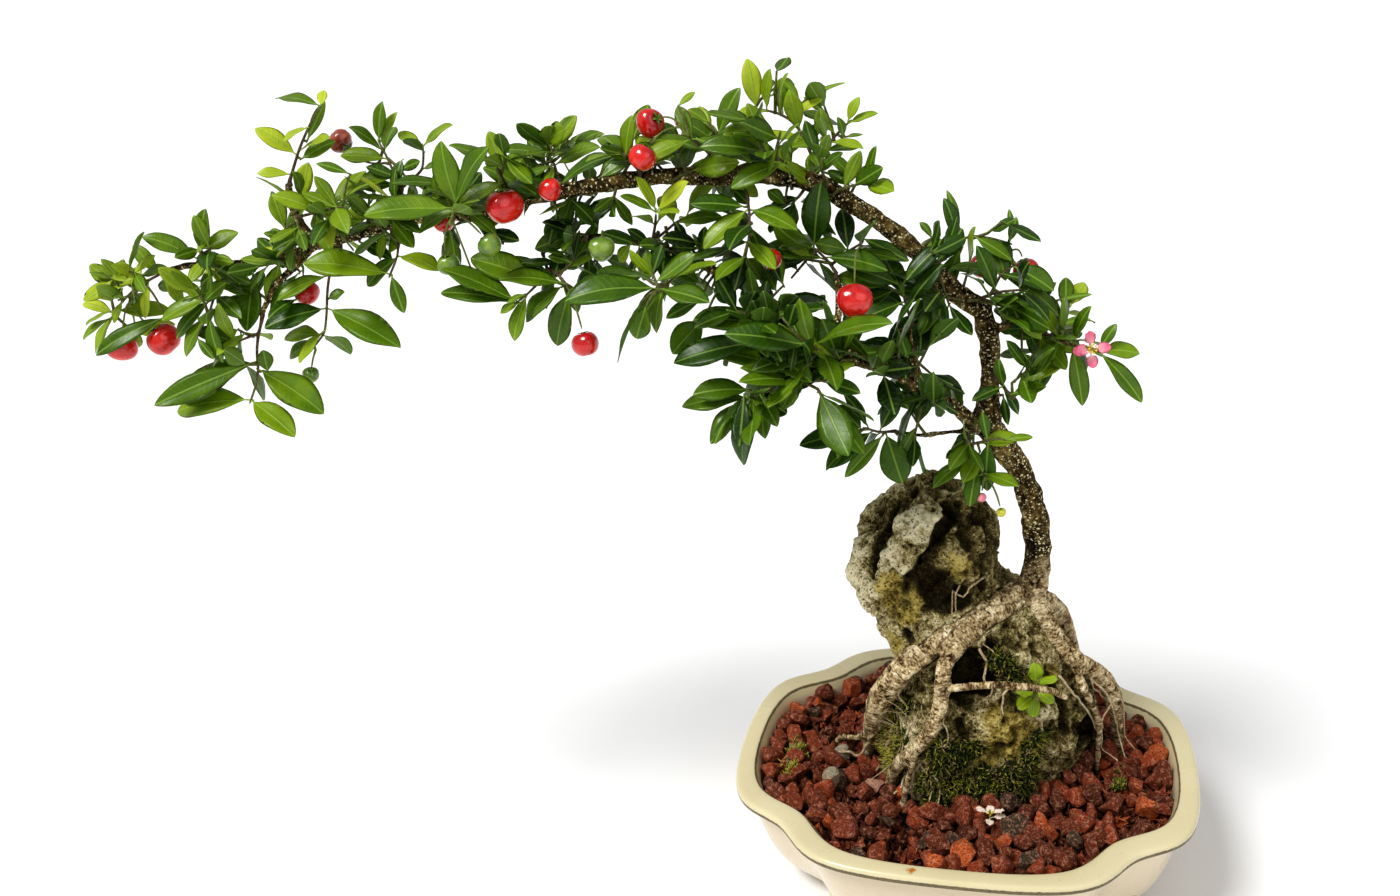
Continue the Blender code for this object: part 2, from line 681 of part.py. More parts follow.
def gravel_slab():
    """A slab of square cells with moved corners, each rising to the flat top of one stone."""
    draw = random.Random(GRAVEL_SEED)
    across = math.ceil(POT_HALF_WIDTH / STONE_CELL) + 1
    deep = math.ceil(POT_HALF_DEPTH / STONE_CELL)
    shell = Shell()
    grooves = {}
    for i in range(-across, across + 1):
        for j in range(-deep, deep + 1):
            x = (i + 0.5 * (j % 2)) * STONE_CELL + draw.uniform(-STONE_JITTER, STONE_JITTER)
            y = j * STONE_CELL + draw.uniform(-STONE_JITTER, STONE_JITTER)
            height = GRAVEL_GROOVE + draw.uniform(-GROOVE_VARIATION, GROOVE_VARIATION)
            grooves[i, j] = shell.loop([(x, y, height)])[0]
    for i in range(-across, across):
        for j in range(-deep, deep):
            cell = [(i, j), (i + 1, j), (i + 1, j + 1), (i, j + 1)]
            edge = [grooves[c] for c in cell]
            middle = sum((shell.points[c] for c in edge), Vector()) / 4.0
            middle.z = STONE_TOP + draw.uniform(-STONE_RISE, STONE_RISE)
            tilt = Vector([draw.uniform(-STONE_TILT, STONE_TILT) for _ in range(2)])
            crown = []
            for c in edge:
                place = middle.lerp(shell.points[c], STONE_SHRINK)
                place.z = middle.z + tilt.dot((place - middle).xy)
                crown.append(place)
            crown = shell.loop(crown)
            shell.bridge(edge, crown)
            shell.cap_end(crown)
    border = [(i, -deep) for i in range(-across, across)] + [(across, j) for j in range(-deep, deep)]
    border += [(i, deep) for i in range(across, -across, -1)] + [(-across, j) for j in range(deep, -deep, -1)]
    edge = [grooves[c] for c in border]
    floor = shell.loop([shell.points[c].xy.to_3d() + UP * (SOIL_TOP + GAP) for c in edge])
    shell.bridge(floor, edge)
    shell.cap_start(floor)
    return shell


def make_gravel(wood):
    """The gravel inside the pot's wall, with the rock's footing and the roots' beds cut out of it."""
    gravel = solid("gravel", gravel_slab(), LAVA)
    low, high = SOIL_TOP - CUT_MARGIN, POT_HEIGHT + CUT_MARGIN
    bowl = outline_prism([(GRAVEL_INSET, low), (GRAVEL_INSET, high)])
    boolean(gravel, [solid("bowl", bowl, LAVA)], "INTERSECT")
    foot = rock_foot(CLEARANCE, low, high)
    boolean(gravel, [solid("foot_hole", foot, LAVA)], "DIFFERENCE")
    roots = [piece for piece in wood if piece[0][-1][2] < GRAVEL_GROOVE]
    boolean(gravel, wood_beds(roots), "DIFFERENCE")
    keep_main_body(gravel)
    return gravel


# Leafy twigs

SPRAYS = {
    "spray_tip": Twig(
        [(-458, -50, 410), (-470, -54, 405), (-482, -55, 399), (-492, -57, 391), (-498, -58, 384)],
        [(.12, 128, 0, 22), (.3, 178, 12, 30), (.3, 258, 15, 22), (.5, 150, -8, 21), (.5, 100, -12, 15),
         (.75, 250, 30, 14), (.98, 160, 0, 21), (.98, 213, 8, 20), (.98, 240, 24, 26), (.86, 352, 24, 30)]),
    "spray_arm": Twig(
        [(-438, -48, 413), (-431, -55, 419), (-420, -58, 424)],
        [(.3, 152, 8, 34), (.6, 95, 0, 30), (.98, 102, -18, 20), (.98, 15, 12, 26)], 1, 26),
    "spray_arm_low": Twig(
        [(-418, -47, 411), (-421, -60, 400), (-424, -70, 386)],
        [(.98, 285, 15, 28), (.98, 232, 10, 30), (.6, 200, 22, 34), (.6, 335, 25, 26)], 1, 26),
    "spray_hang_left": Twig(
        [(-398, -56, 381), (-400, -64, 366), (-399, -70, 350), (-404, -76, 336)],
        [(.5, 202, 10, 56), (.98, 187, 16, 50), (.98, 336, 22, 40), (.6, 328, 4, 46)],
        twigs=[Twig([(-400, -61, 373), (-412, -69, 370)],
                    [(.95, 95, 22, 31), (.95, 160, 14, 26), (.95, 215, 30, 22)])]),
    "spray_hang_right": Twig(
        [(-347, -40, 419), (-357, -44, 401), (-361, -50, 374), (-370, -50, 363)],
        [(.6, 344, 20, 42), (.62, 190, 30, 36), (.3, 200, 28, 32), (.97, 205, -10, 26), (.8, 230, 34, 24)],
        1, 26),
    "spray_up": Twig(
        [(-375, -38, 455), (-363, -38, 476), (-350, -40, 492), (-343, -40, 499)],
        [(.98, 168, 0, 27), (.98, 110, -25, 13), (.35, 140, 10, 26), (.42, 18, 15, 25), (.12, 170, 24, 18),
         (.7, 205, 26, 16)]),
    "spray_fork": Twig(
        [(-372, -42, 437), (-360, -49, 440), (-346, -55, 443), (-330, -60, 446)],
        [(.2, 120, 25, 32), (.6, 150, 22, 26), (.98, 28, 15, 28), (.98, 120, 0, 20), (.5, 300, 25, 26)],
        1, 26),
    "spray_top_left": Twig(
        [(-303, -34, 437), (-312, -25, 448), (-321, -15, 461), (-330, -8, 474)],
        [(.98, 92, 0, 24), (.98, 55, -10, 20), (.75, 172, 5, 28), (.5, 190, 22, 26)], 1, 24,
        twigs=[Twig([(-313, -24, 450), (-302, -12, 458), (-304, -5, 470)],
                    [(.98, 30, 5, 24), (.98, 85, 0, 18), (.5, 12, 22, 26), (.98, 150, -10, 18)])]),
    "spray_under_left": Twig(
        [(-312, -38, 427), (-306, -50, 418), (-309, -60, 406)],
        [(.98, 172, 18, 50), (.98, 285, 10, 22), (.6, 350, 20, 30), (.6, 215, 0, 28)]),
    "spray_front": Twig(
        [(-267, -35, 437), (-264, -52, 441), (-262, -63, 444)],
        [(.98, 177, 18, 48), (.98, 50, 15, 44), (.98, 20, 28, 22), (.7, 98, 0, 36), (.7, 205, 10, 26),
         (.4, 320, 0, 22)]),
    "spray_low": Twig(
        [(-227, -33, 412), (-219, -50, 405), (-224, -62, 398), (-232, -68, 392)],
        [(.98, 150, 10, 44), (.98, 200, 24, 12), (.6, 168, 15, 40), (.8, 250, 15, 26)],
        twigs=[Twig([(-219, -48, 405), (-208, -53, 400), (-204, -56, 394)],
                    [(.7, 168, 18, 36), (.98, 253, 2, 36), (.98, 300, 28, 24), (.98, 22, 20, 24)])]),
    "spray_big": Twig(
        [(-142, -36, 405), (-144, -62, 403), (-147, -80, 402)],
        [(.98, 180, 20, 48), (.98, 352, 20, 30), (.85, 258, 15, 24), (.6, 228, 4, 34), (.5, 20, 15, 26)]),
    "spray_mid_left": Twig(
        [(-194, -29, 417), (-200, -18, 406), (-209, -8, 396)], [(.5, 195, 10, 30)], 3, 27),
    "spray_mid": Twig(
        [(-163, -32, 415), (-158, -39, 426), (-154, -47, 437)],
        [(.98, 150, 5, 20), (.98, 40, 5, 24)], 2, 22,
        twigs=[Twig([(-162, -34, 418), (-153, -18, 423), (-147, -6, 425)], [], 2, 26)]),
    "spray_mid_right": Twig(
        [(-111, -23, 446), (-106, -38, 436), (-105, -45, 422), (-108, -48, 408)], [], 4, 28),
    "spray_low_mid": Twig(
        [(-95, -40, 380), (-97, -58, 376), (-100, -68, 369)],
        [(.98, 200, 15, 44), (.98, 222, 25, 36), (.98, 330, 20, 36), (.5, 170, 20, 38), (.5, 20, 20, 36)]),
    "spray_tuft": Twig(
        [(-94, -61, 343), (-100, -66, 342), (-107, -70, 339)],
        [(.98, 185, 8, 36), (.98, 226, 15, 32), (.98, 257, 10, 42), (.6, 268, 20, 26), (.6, 310, 24, 22)],
        twigs=[Twig([(-98, -65, 343), (-80, -72, 349), (-62, -76, 352)],
                    [(.4, 150, 15, 26), (.98, 350, 15, 20), (.98, 32, 15, 20), (.65, 168, 28, 34)])]),
    "spray_front_mid": Twig(
        [(-63, -53, 354), (-66, -68, 365), (-69, -80, 372)],
        [(.98, 22, 15, 46), (.98, 165, 15, 44), (.6, 190, 22, 36), (.6, 322, 25, 34), (.98, 100, 10, 26)]),
    "spray_riser_a": Twig(
        [(-62, -30, 396), (-68, -28, 404), (-76, -26, 411)],
        [(.98, 80, 10, 36), (.5, 350, 10, 34), (.6, 170, 0, 36)], 1, 34,
        twigs=[Twig([(-65, -28, 401), (-57, -20, 406), (-50, -14, 409)], [], 2, 28)]),
    "spray_riser_b": Twig(
        [(-23, -22, 363), (-27, -25, 380), (-29, -25, 390)], [(.6, 200, 20, 34)], 3, 28),
    "spray_burl_left": Twig(
        [(-31, -28, 306), (-35, -31, 307), (-41, -38, 309), (-48, -42, 313)],
        [(.98, 190, 10, 38), (.98, 218, 28, 30), (.4, 258, 20, 38), (.98, 120, 10, 24), (.6, 62, 0, 26),
         (.6, 240, -10, 28)]),
    "spray_burl_down": Twig(
        [(4, -20, 299), (7, -27, 292), (15, -33, 282)],
        [(.98, 350, 15, 24), (.5, 215, 20, 26), (.6, 262, 18, 22), (.98, 195, 22, 16)],
        twigs=[Twig([(6, -23, 297), (18, -26, 301)],
                    [(.95, 268, 12, 28), (.95, 8, 10, 22), (.95, 100, 0, 16)])]),
    "spray_trunk": Twig(
        [(18, -5, 331), (24, -11, 327), (29, -13, 321)],
        [(.98, 300, 15, 18), (.98, 20, 15, 20), (.6, 200, 20, 18), (.6, 100, 20, 18)]),
    "spray_right": Twig(
        [(43, 5, 353), (62, -3, 347), (76, -6, 345)],
        [(.98, 350, -5, 26), (.98, 318, 10, 27), (.55, 292, 15, 27), (.3, 262, 10, 24), (.6, 30, 5, 22),
         (.98, 60, -8, 16), (.3, 120, 10, 22)]),
    "spray_right_top": Twig(
        [(-11, -5, 395), (-5, 8, 400), (2, 13, 405), (16, 16, 403), (27, 18, 399)],
        [(.4, 105, 0, 24), (.4, 200, 10, 22), (.6, 330, 15, 24), (.98, 75, 0, 14), (.78, 300, 20, 24),
         (.25, 160, 5, 24)]),
    "spray_right_mid": Twig(
        [(9, -4, 373), (20, -12, 380), (34, -18, 383)],
        [(.7, 330, 22, 24), (.98, 10, 20, 26), (.98, 300, 15, 22), (.5, 110, 10, 28), (.98, 60, 5, 30)],
        twigs=[Twig([(15, -9, 378), (22, 3, 386), (29, 11, 389)],
                    [(.98, 25, -10, 32), (.98, 120, -10, 26), (.6, 340, 0, 26), (.6, 170, -20, 26)])]),
    "spray_top": Twig(
        [(-73, -15, 449), (-77, -10, 458), (-82, -6, 467), (-87, -3, 473), (-97, 0, 478), (-109, 2, 480)],
        [(.98, 97, 0, 26), (.98, 175, 5, 16), (.86, 80, 0, 22), (.72, 75, 10, 22), (.6, 28, 0, 20),
         (.45, 100, -10, 22), (.35, 172, 15, 24)],
        twigs=[Twig([(-75, -12, 453), (-69, -2, 459), (-63, 4, 466), (-57, 6, 471)],
                    [(.98, 62, 0, 14), (.98, 18, 0, 16), (.5, 350, 10, 18), (.65, 130, 0, 14),
                     (.3, 320, 15, 20)])]),
    "spray_arch_right": Twig(
        [(-83, -21, 450), (-88, -34, 458), (-95, -42, 464)],
        [(.98, 170, 10, 34), (.98, 108, 5, 26), (.5, 200, 25, 30)], 2, 28),
    "spray_arch": Twig(
        [(-124, -22, 452), (-127, -30, 462), (-135, -38, 472)],
        [(.98, 120, 0, 20), (.98, 200, 18, 30), (.98, 340, 20, 34), (.6, 28, 15, 26), (.6, 165, 24, 28)],
        twigs=[Twig([(-125, -25, 456), (-126, -10, 461), (-130, -2, 468)], [], 2, 26)]),
    "spray_arch_left": Twig(
        [(-166, -28, 453), (-168, -38, 460), (-172, -44, 467)],
        [(.98, 200, 15, 34), (.98, 150, 0, 26), (.5, 30, 10, 24)], 1, 24),
    "spray_crown": Twig(
        [(-214, -28, 448), (-218, -20, 456), (-224, -14, 464)],
        [(.98, 50, 5, 26), (.98, 110, 0, 22), (.98, 170, 10, 28), (.6, 20, 10, 30), (.5, 200, 10, 24)],
        1, 26),
    "spray_crown_left": Twig(
        [(-241, -33, 441), (-240, -44, 456), (-241, -50, 465)],
        [(.98, 150, 10, 26), (.98, 60, 10, 26), (.5, 200, 25, 28), (.5, 350, 20, 26)]),
}

YOUNG_SPRAYS = {"spray_tip", "spray_up", "spray_top", "spray_mid"}
DARK_SPRAYS = {"spray_mid_left", "spray_riser_b", "spray_burl_left", "spray_trunk", "spray_low_mid",
               "spray_right_mid", "spray_riser_a"}


def cherry(route, diameter):
    return Twig(route, fruit=diameter, radius=STALK_RADIUS)


def cherry_pair(stem, first, second):
    """Two cherries on stalks that leave the end of one short stem."""
    sides = [Twig(route, fruit=diameter, radius=PAIR_STALK_RADIUS) for route, diameter in (first, second)]
    return Twig(stem, twigs=sides, radius=TWIG_END_RADIUS)


FRUITS = {
    "cherry_tip_pair": (CHERRY_RED, cherry_pair(
        [(-484, -56, 396), (-484, -60, 390)],
        ([(-484, -60, 390), (-478, -62, 386), (-472, -60, 377)], 20.0),
        ([(-484, -60, 390), (-490, -60, 382), (-495, -58, 372)], 18.5))),
    "cherry_hidden": (CHERRY_RED, cherry([(-370, -44, 412), (-373, -46, 405), (-374, -44, 399)], 15.0)),
    "cherry_withered": (CHERRY_BROWN, cherry([(-322, -16, 462), (-338, -14, 462), (-349, -10, 470)], 14.5)),
    "cherry_front_small": (CHERRY_RED, cherry([(-264, -52, 440), (-270, -50, 441), (-273, -49, 438)], 12.5)),
    "cherry_big": (CHERRY_RED, cherry([(-240, -50, 464), (-237, -57, 461), (-236, -58, 453)], 20.5)),
    "cherry_crown": (CHERRY_RED, cherry([(-220, -31, 445), (-214, -40, 455), (-212, -46, 453)], 12.5)),
    "cherry_low": (CHERRY_RED, cherry([(-204, -56, 393), (-199, -63, 387), (-196, -66, 376)], 15.0)),
    "cherry_arch_pair": (CHERRY_RED, cherry_pair(
        [(-136, -38, 473), (-140, -39, 480)],
        ([(-140, -39, 480), (-147, -33, 484), (-153, -30, 482)], 15.5),
        ([(-140, -39, 480), (-148, -48, 478), (-153, -52, 471)], 14.5))),
    "cherry_arch_small": (CHERRY_RED, cherry([(-130, -2, 468), (-136, -6, 476), (-141, -9, 477)], 10.5)),
    "cherry_middle": (CHERRY_RED, cherry([(-77, -27, 411), (-86, -38, 418), (-91, -44, 413)], 12.0)),
    "cherry_front_big": (CHERRY_RED, cherry([(-50, -15, 408), (-50, -42, 410), (-49, -56, 397)], 18.5)),
    "cherry_right_pair": (CHERRY_RED, cherry_pair(
        [(29, 11, 389), (27, 16, 393), (25, 20, 396)],
        ([(25, 20, 396), (18, 23, 397), (14, 25, 391)], 14.5),
        ([(25, 20, 396), (31, 22, 396), (33, 22, 390)], 14.5))),
    "fruit_green_pair": (CHERRY_GREEN, cherry_pair(
        [(-262, -64, 443), (-264, -67, 436)],
        ([(-264, -67, 436), (-269, -68, 428), (-269, -67, 420)], 12.5),
        ([(-264, -67, 436), (-259, -66, 424), (-258, -60, 407)], 15.5))),
    "fruit_green_oval": (CHERRY_GREEN, cherry([(-262, -62, 441), (-251, -68, 437), (-245, -69, 430)], 13.0)),
    "fruit_green_middle": (CHERRY_GREEN, cherry(
        [(-190, -32, 419), (-186, -45, 427), (-184, -53, 423)], 14.0)),
    "fruit_green_low": (CHERRY_GREEN, cherry([(-370, -50, 361), (-373, -52, 354), (-375, -51, 349)], 10.0)),
    "bud_pink": (PETAL_PINK, cherry([(15, -33, 281), (14, -36, 277), (14, -37, 274)], 5.5)),
    "fruit_young": (STAMEN_YELLOW, cherry([(17, -34, 282), (22, -37, 274), (24, -37, 265)], 5.5)),
}

FLOWER_STEM = [(64, -5, 347), (67, -12, 349), (69, -18, 350), (70, -23, 352)]
FLOWER_STEM_RADIUS = 0.95
FLOWER_PETAL = 9.5
FLOWER_RINGS = ((5.0, 0.35), (1.6, 0.6))
PETAL_FOOT = 0.65
PETAL_WIDTH_RATIO = 0.66
PETAL_ARCH = 0.6
HEART_RADIUS = 2.6

SEEDLING_VIEW = (95.0, -75.0, 137.0)
SEEDLING_AIM = (15.0, 0.0, 137.0)
SEEDLING_STEM = [(-2.0, 2.0, -1.0), (1.5, -2.5, 3.0), (3.5, -5.0, 15.0)]
SEEDLING_LEAVES = [(.98, 95, 0, 13), (.98, 25, 10, 12), (.7, 175, 10, 12), (.4, 200, 10, 13),
                   (.6, 330, 20, 12), (.6, 265, 30, 12)]

SEEDLING_RADIUS = 1.1
SEEDLING_WIDTH_RATIO = 0.66

FALLEN_PLACE = (20.0, -62.0)
FALLEN_STEM = 7.5
FALLEN_RINGS = ((2.4, 8.5, 0.25), (5.6, 8.0, 0.4))
FALLEN_STEP = 0.1

PROBE_RAY = Vector((0.31, 0.19, 0.93)).normalized()
PROBE_STEP = 0.15


def direction(clock, lean):
    """The direction that a clock angle and a lean toward the viewer stand for, in degrees."""
    turned, tipped = math.radians(clock), math.radians(lean)
    level = math.cos(tipped)
    return Vector((math.cos(turned) * level, -math.sin(tipped), math.sin(turned) * level))


class Path:
    """A twig's smooth route, measured by its length."""

    def __init__(self, route):
        self.frames = frames_along([Vector(p) for p in smooth_route(route, 4.0)])
        self.marks = [0.0]
        for before, after in zip(self.frames, self.frames[1:]):
            self.marks.append(self.marks[-1] + (after[0] - before[0]).length)
        self.length = self.marks[-1]

    def at(self, distance):
        """The point, the direction and the two cross directions at a distance along the route."""
        k = 0
        while k < len(self.marks) - 2 and self.marks[k + 1] < distance:
            k += 1
        t = (distance - self.marks[k]) / max(self.marks[k + 1] - self.marks[k], 1e-6)
        point = self.frames[k][0].lerp(self.frames[k + 1][0], t)
        t = min(max(t, 0.0), 1.0)
        ahead = self.frames[k][1].lerp(self.frames[k + 1][1], t).normalized()
        side = self.frames[k][2].lerp(self.frames[k + 1][2], t)
        side = (side - ahead * side.dot(ahead)).normalized()
        return point, ahead, side, ahead.cross(side)


def is_inside(surface, point):
    """Whether a point is inside a closed surface, from how often a ray from it crosses the surface."""
    crossings = 0
    hit = surface.ray_cast(point, PROBE_RAY)
    while hit[0] is not None:
        crossings += 1
        hit = surface.ray_cast(hit[0] + PROBE_RAY * 1e-4, PROBE_RAY)
    return crossings % 2 == 1


def start_clear(path, radius, carriers):
    """The distance along a route at which a twig's end stands just clear of what carries it."""
    distance = 0.0
    while distance < 0.6 * path.length:
        corners = ring_corners(path, distance, radius)
        centre = path.at(distance)[0]
        probes = [centre] + corners + [0.5 * (corner + centre) for corner in corners]
        probes += [0.5 * (corner + after) for corner, after in zip(corners, corners[1:] + corners[:1])]
        near = min(carrier.find_nearest(probe)[3] for carrier in carriers for probe in probes)
        if near > GAP + 0.05 and not any(is_inside(c, probe) for c in carriers for probe in probes):
            return distance
        distance += PROBE_STEP
    return 0.0


def ring_corners(path, distance, radius):
    point, _, side, over = path.at(distance)
    corners = []
    for k in range(4):
        angle = math.tau * (k + 0.5) / 4.0
        corners.append(point + (side * math.cos(angle) + over * math.sin(angle)) * radius)
    return corners


def blade_sections(base, tip, normal, width, shape, arch, grown=0.0):
    """The four-point sections of a blade: left edge, upper middle, right edge, lower middle."""
    along = tip - base
    ahead = along.normalized()
    normal = (normal - ahead * normal.dot(ahead)).normalized()
    side = ahead.cross(normal)
    sections = []
    for station, share in shape:
        centre = base + along * station + normal * arch * 4.0 * station * (1.0 - station)
        half = 0.5 * width * share
        keel = -BLADE_KEEL * half
        thick = 0.5 * BLADE_THICKNESS + grown
        sections.append([centre - side * (half + grown), centre + normal * (keel + thick),
                         centre + side * (half + grown), centre + normal * (keel - thick)])
    return sections


class Crowd:
    """What is already in place, so that each new blade finds room beside it."""

    def __init__(self):
        self.solids = []
        self.pieces = []

    def add(self, shell):
        centre = sum(shell.points, Vector()) / len(shell.points)
        radius = max((p - centre).length for p in shell.points)
        self.pieces.append((shell.tree(), centre, radius))

    def has_room_for(self, shell):
        tree = shell.tree()
        centre = sum(shell.points, Vector()) / len(shell.points)
        radius = max((p - centre).length for p in shell.points)
        if any(tree.overlap(solid_tree) for solid_tree in self.solids):
            return False
        for other, place, reach in self.pieces:
            if (place - centre).length < reach + radius and tree.overlap(other):
                return False
        return True


def blade_shell(foot, *blade, grown=0.0):
    """A blade as a closed shell by itself, from just above the twig's side on."""
    shell = Shell()
    loop = shell.loop(foot)
    shell.cap_start(loop)
    grow_leaf(shell, loop, *blade, grown=grown)
    return shell


def find_room(crowd, foot, out, clock, lean, length, hint, twig, draw):
    """The blade nearest to the wanted one that touches nothing in the crowd, or None."""
    changes = [(0, 0, 1.0)]
    for reach in BLADE_REACHES:
        for turn in BLADE_TURNS:
            changes += [(turn, lift, reach) for lift in BLADE_LIFTS]
    changes.sort(key=lambda c: abs(c[0]) * TURN_COST + abs(c[1]) * LIFT_COST + (1.0 - c[2]) * REACH_COST)
    base = sum(foot, Vector()) / len(foot)
    lifted = [corner + out * BLADE_CLEARANCE for corner in foot]
    width = length * twig.ratio * draw.uniform(*BLADE_WIDTHS)
    shape = SHORT_LEAF_SHAPE if twig.shape is LEAF_SHAPE and length < SHORT_LEAF else twig.shape
    arch = length * draw.uniform(*BLADE_ARCH)
    for turn, lift, reach in changes:
        ahead = direction(clock + turn, lean + lift)
        tip = base + ahead * length * reach
        normal = hint - ahead * hint.dot(ahead)
        if normal.length < 0.2:
            normal = SKYWARD - ahead * SKYWARD.dot(ahead)
        blade = (base, tip, normal, width * reach, shape, arch)
        if crowd.has_room_for(blade_shell(lifted, *blade, grown=BLADE_CLEARANCE)):
            crowd.add(blade_shell(lifted, *blade))
            return blade
    return None


def wanted_leaves(twig, draw):
    """The twig's own leaves, then its opposite pairs, each pair turned from the one before."""
    wanted = list(twig.leaves)
    path = Path(twig.route)
    for k in range(twig.pairs):
        station = 0.3 + 0.68 * (k + 1) / twig.pairs - 0.12 / twig.pairs
        _, ahead, side, over = path.at(station * path.length)
        turn = math.radians(90.0 * k + draw.uniform(-20.0, 20.0) + 35.0)
        spread = math.radians(draw.uniform(48.0, 64.0))
        for half in (0.0, math.pi):
            out = side * math.cos(turn + half) + over * math.sin(turn + half)
            aim = ahead * math.cos(spread) + out * math.sin(spread) + UP * 0.15
            aim.normalize()
            lean = math.degrees(math.asin(-aim.y))
            clock = math.degrees(math.atan2(aim.z, aim.x))
            wanted.append((station, clock, lean, twig.size * draw.uniform(0.85, 1.15)))
    return wanted


def choose_slot(slots, wish, aim, path, radius, start):
    """The free place on the twig nearest to the wish, with the face that looks most along the aim."""
    low, high = start + LEAF_FOOT + 0.8, path.length - LEAF_FOOT - 0.3
    wish = min(max(wish, low), high)
    options = []
    for distance in list(slots) + [wish + k * NODE_SPACING for k in (0, 1, -1, 2, -2, 3, -3)]:
        if not low - 1e-6 <= distance <= high + 1e-6:
            continue
        known = distance in slots
        if not known and any(abs(distance - other) < NODE_SPACING for other in slots):
            continue
        _, _, side, over = path.at(distance)
        for face in range(4):
            if known and face in slots[distance]:
                continue
            angle = math.tau * (face + 1) / 4.0
            out = side * math.cos(angle) + over * math.sin(angle)
            if out.dot(aim) > FACING:
                cost = abs(distance - wish) * SHIFT_COST + (1.0 - out.dot(aim)) * FACING_COST
                options.append((cost, distance, face, out))
    if not options:
        return None
    _, distance, face, out = min(options, key=lambda option: option[:3])
    slots.setdefault(distance, {})
    low = ring_corners(path, distance - LEAF_FOOT, radius)
    high = ring_corners(path, distance + LEAF_FOOT, radius)
    after = (face + 1) % 4
    return distance, face, [low[face], low[after], high[after], high[face]], out


def plan_twig(twig, crowd, draw, start=0.0):
    """Settles where each leaf and side twig leaves the twig, as {distance: {face: thing}}."""
    path = Path(twig.route)
    slots = {}
    for side_twig in twig.twigs:
        first, second = Vector(side_twig.route[0]), Vector(side_twig.route[1])
        wish = min(range(101), key=lambda k: (path.at(path.length * k / 100.0)[0] - first).length)
        chosen = choose_slot(slots, path.length * wish / 100.0, (second - first).normalized(), path,
                             twig.radius, start)
        distance, face, foot, out = chosen
        base = sum(foot, Vector()) / len(foot)
        knee = base + out * 1.6 * side_twig.radius
        side_twig.route = [tuple(base), tuple(knee)] + [tuple(p) for p in side_twig.route[1:]]
        slots[distance][face] = ("twig", side_twig, plan_twig(side_twig, crowd, draw))
    for station, clock, lean, length in wanted_leaves(twig, draw):
        chosen = choose_slot(slots, station * path.length, direction(clock, lean), path, twig.radius, start)
        if chosen is None:
            continue
        distance, face, foot, out = chosen
        hint = Vector((draw.uniform(-0.3, 0.3), -0.45 + draw.uniform(-0.3, 0.2), 0.85))
        blade = find_room(crowd, foot, out, clock, lean, length, hint, twig, draw)
        if blade is not None:
            slots[distance][face] = ("leaf", blade, None)
    return {distance: faces for distance, faces in slots.items() if faces}


def grow_leaf(shell, loop, base, tip, normal, width, shape, arch, grown=0.0):
    """A blade from an open four-sided loop to its tip."""
    last = None
    for section in blade_sections(base, tip, normal, width, shape, arch, grown):
        section = shell.loop(section)
        shell.bridge_blade(shell.matched(loop, section) if last is None else last, section)
        last = section
    shell.cone(last, tip + (tip - base).normalized() * grown)


def grow_fruit(shell, loop, path, diameter):
    """A three-lobed fruit at the end of its stalk."""
    point, ahead, side, over = path.at(path.length)
    half = 0.5 * diameter
    centre = point + ahead * half * 0.95
    last = None
    for polar in FRUIT_RINGS if diameter > SMALL_FRUIT else SMALL_FRUIT_RINGS:
        ring = []
        for k in range(FRUIT_SIDES):
            angle = math.tau * (k + 0.5) / FRUIT_SIDES
            out = side * math.cos(angle) + over * math.sin(angle)
            lobe = 1.0 + FRUIT_LOBE * math.cos(3.0 * angle)
            along = -math.cos(math.radians(polar)) * FRUIT_HEIGHT
            ring.append(centre + (out * math.sin(math.radians(polar)) * lobe + ahead * along) * half)
        ring = shell.loop(ring)
        if last is None:
            join_stalk(shell, loop, ring)
        else:
            shell.bridge(last, ring)
        last = ring
    shell.cone(last, centre + ahead * half * 0.84)


def join_stalk(shell, loop, ring):
    """Joins the stalk's four corners to the fruit's first ring, which has twice as many."""
    def cost(turn):
        return sum((shell.points[loop[i]] - shell.points[ring[(2 * i + 1 + turn) % FRUIT_SIDES]]).length
                   for i in range(4))
    best = min(range(FRUIT_SIDES), key=cost)
    shell.bridge_double(loop, ring[best:] + ring[:best])


def grow_twig(shell, loop, twig, slots, start=0.0):
    """The twig from an open loop onward, or from a closed end of its own, with all that it carries."""
    path = Path(twig.route)
    end_radius = min(twig.radius, TWIG_END_RADIUS)

    def ring_at(distance):
        share = distance / path.length
        return shell.loop(ring_corners(path, distance, twig.radius + (end_radius - twig.radius) * share))

    stops = []
    for distance in sorted(slots):
        stops += [(distance - LEAF_FOOT, {}), (distance + LEAF_FOOT, slots[distance])]
    if not stops or stops[-1][0] < path.length - 1.0:
        stops.append((path.length, {}))
    marks = [start] + [stop[0] for stop in stops]
    for before, after in zip(marks, marks[1:]):
        for k in range(1, math.ceil((after - before) / TWIG_STEP)):
            stops.append((before + (after - before) * k / math.ceil((after - before) / TWIG_STEP), {}))
    stops.sort(key=lambda stop: stop[0])
    if loop is None:
        last = ring_at(start)
        shell.cap_start(last)
    else:
        first = ring_at(min(1.5, stops[0][0] * 0.5))
        shell.bridge(shell.matched(loop, first), first)
        last = first
    for distance, things in stops:
        ring = ring_at(distance)
        for face in range(4):
            after = (face + 1) % 4
            if face in things:
                kind, thing, plan = things[face]
                hole = [last[face], last[after], ring[after], ring[face]]
                if kind == "leaf":
                    grow_leaf(shell, hole, *thing)
                else:
                    grow_twig(shell, hole, thing, plan)
            else:
                shell.faces.append((last[face], last[after], ring[after]))
                shell.faces.append((last[face], ring[after], ring[face]))
        last = ring
    if twig.fruit:
        grow_fruit(shell, last, path, twig.fruit)
    else:
        point, ahead, _, _ = path.at(path.length)
        shell.cone(last, point + ahead * TWIG_TIP)


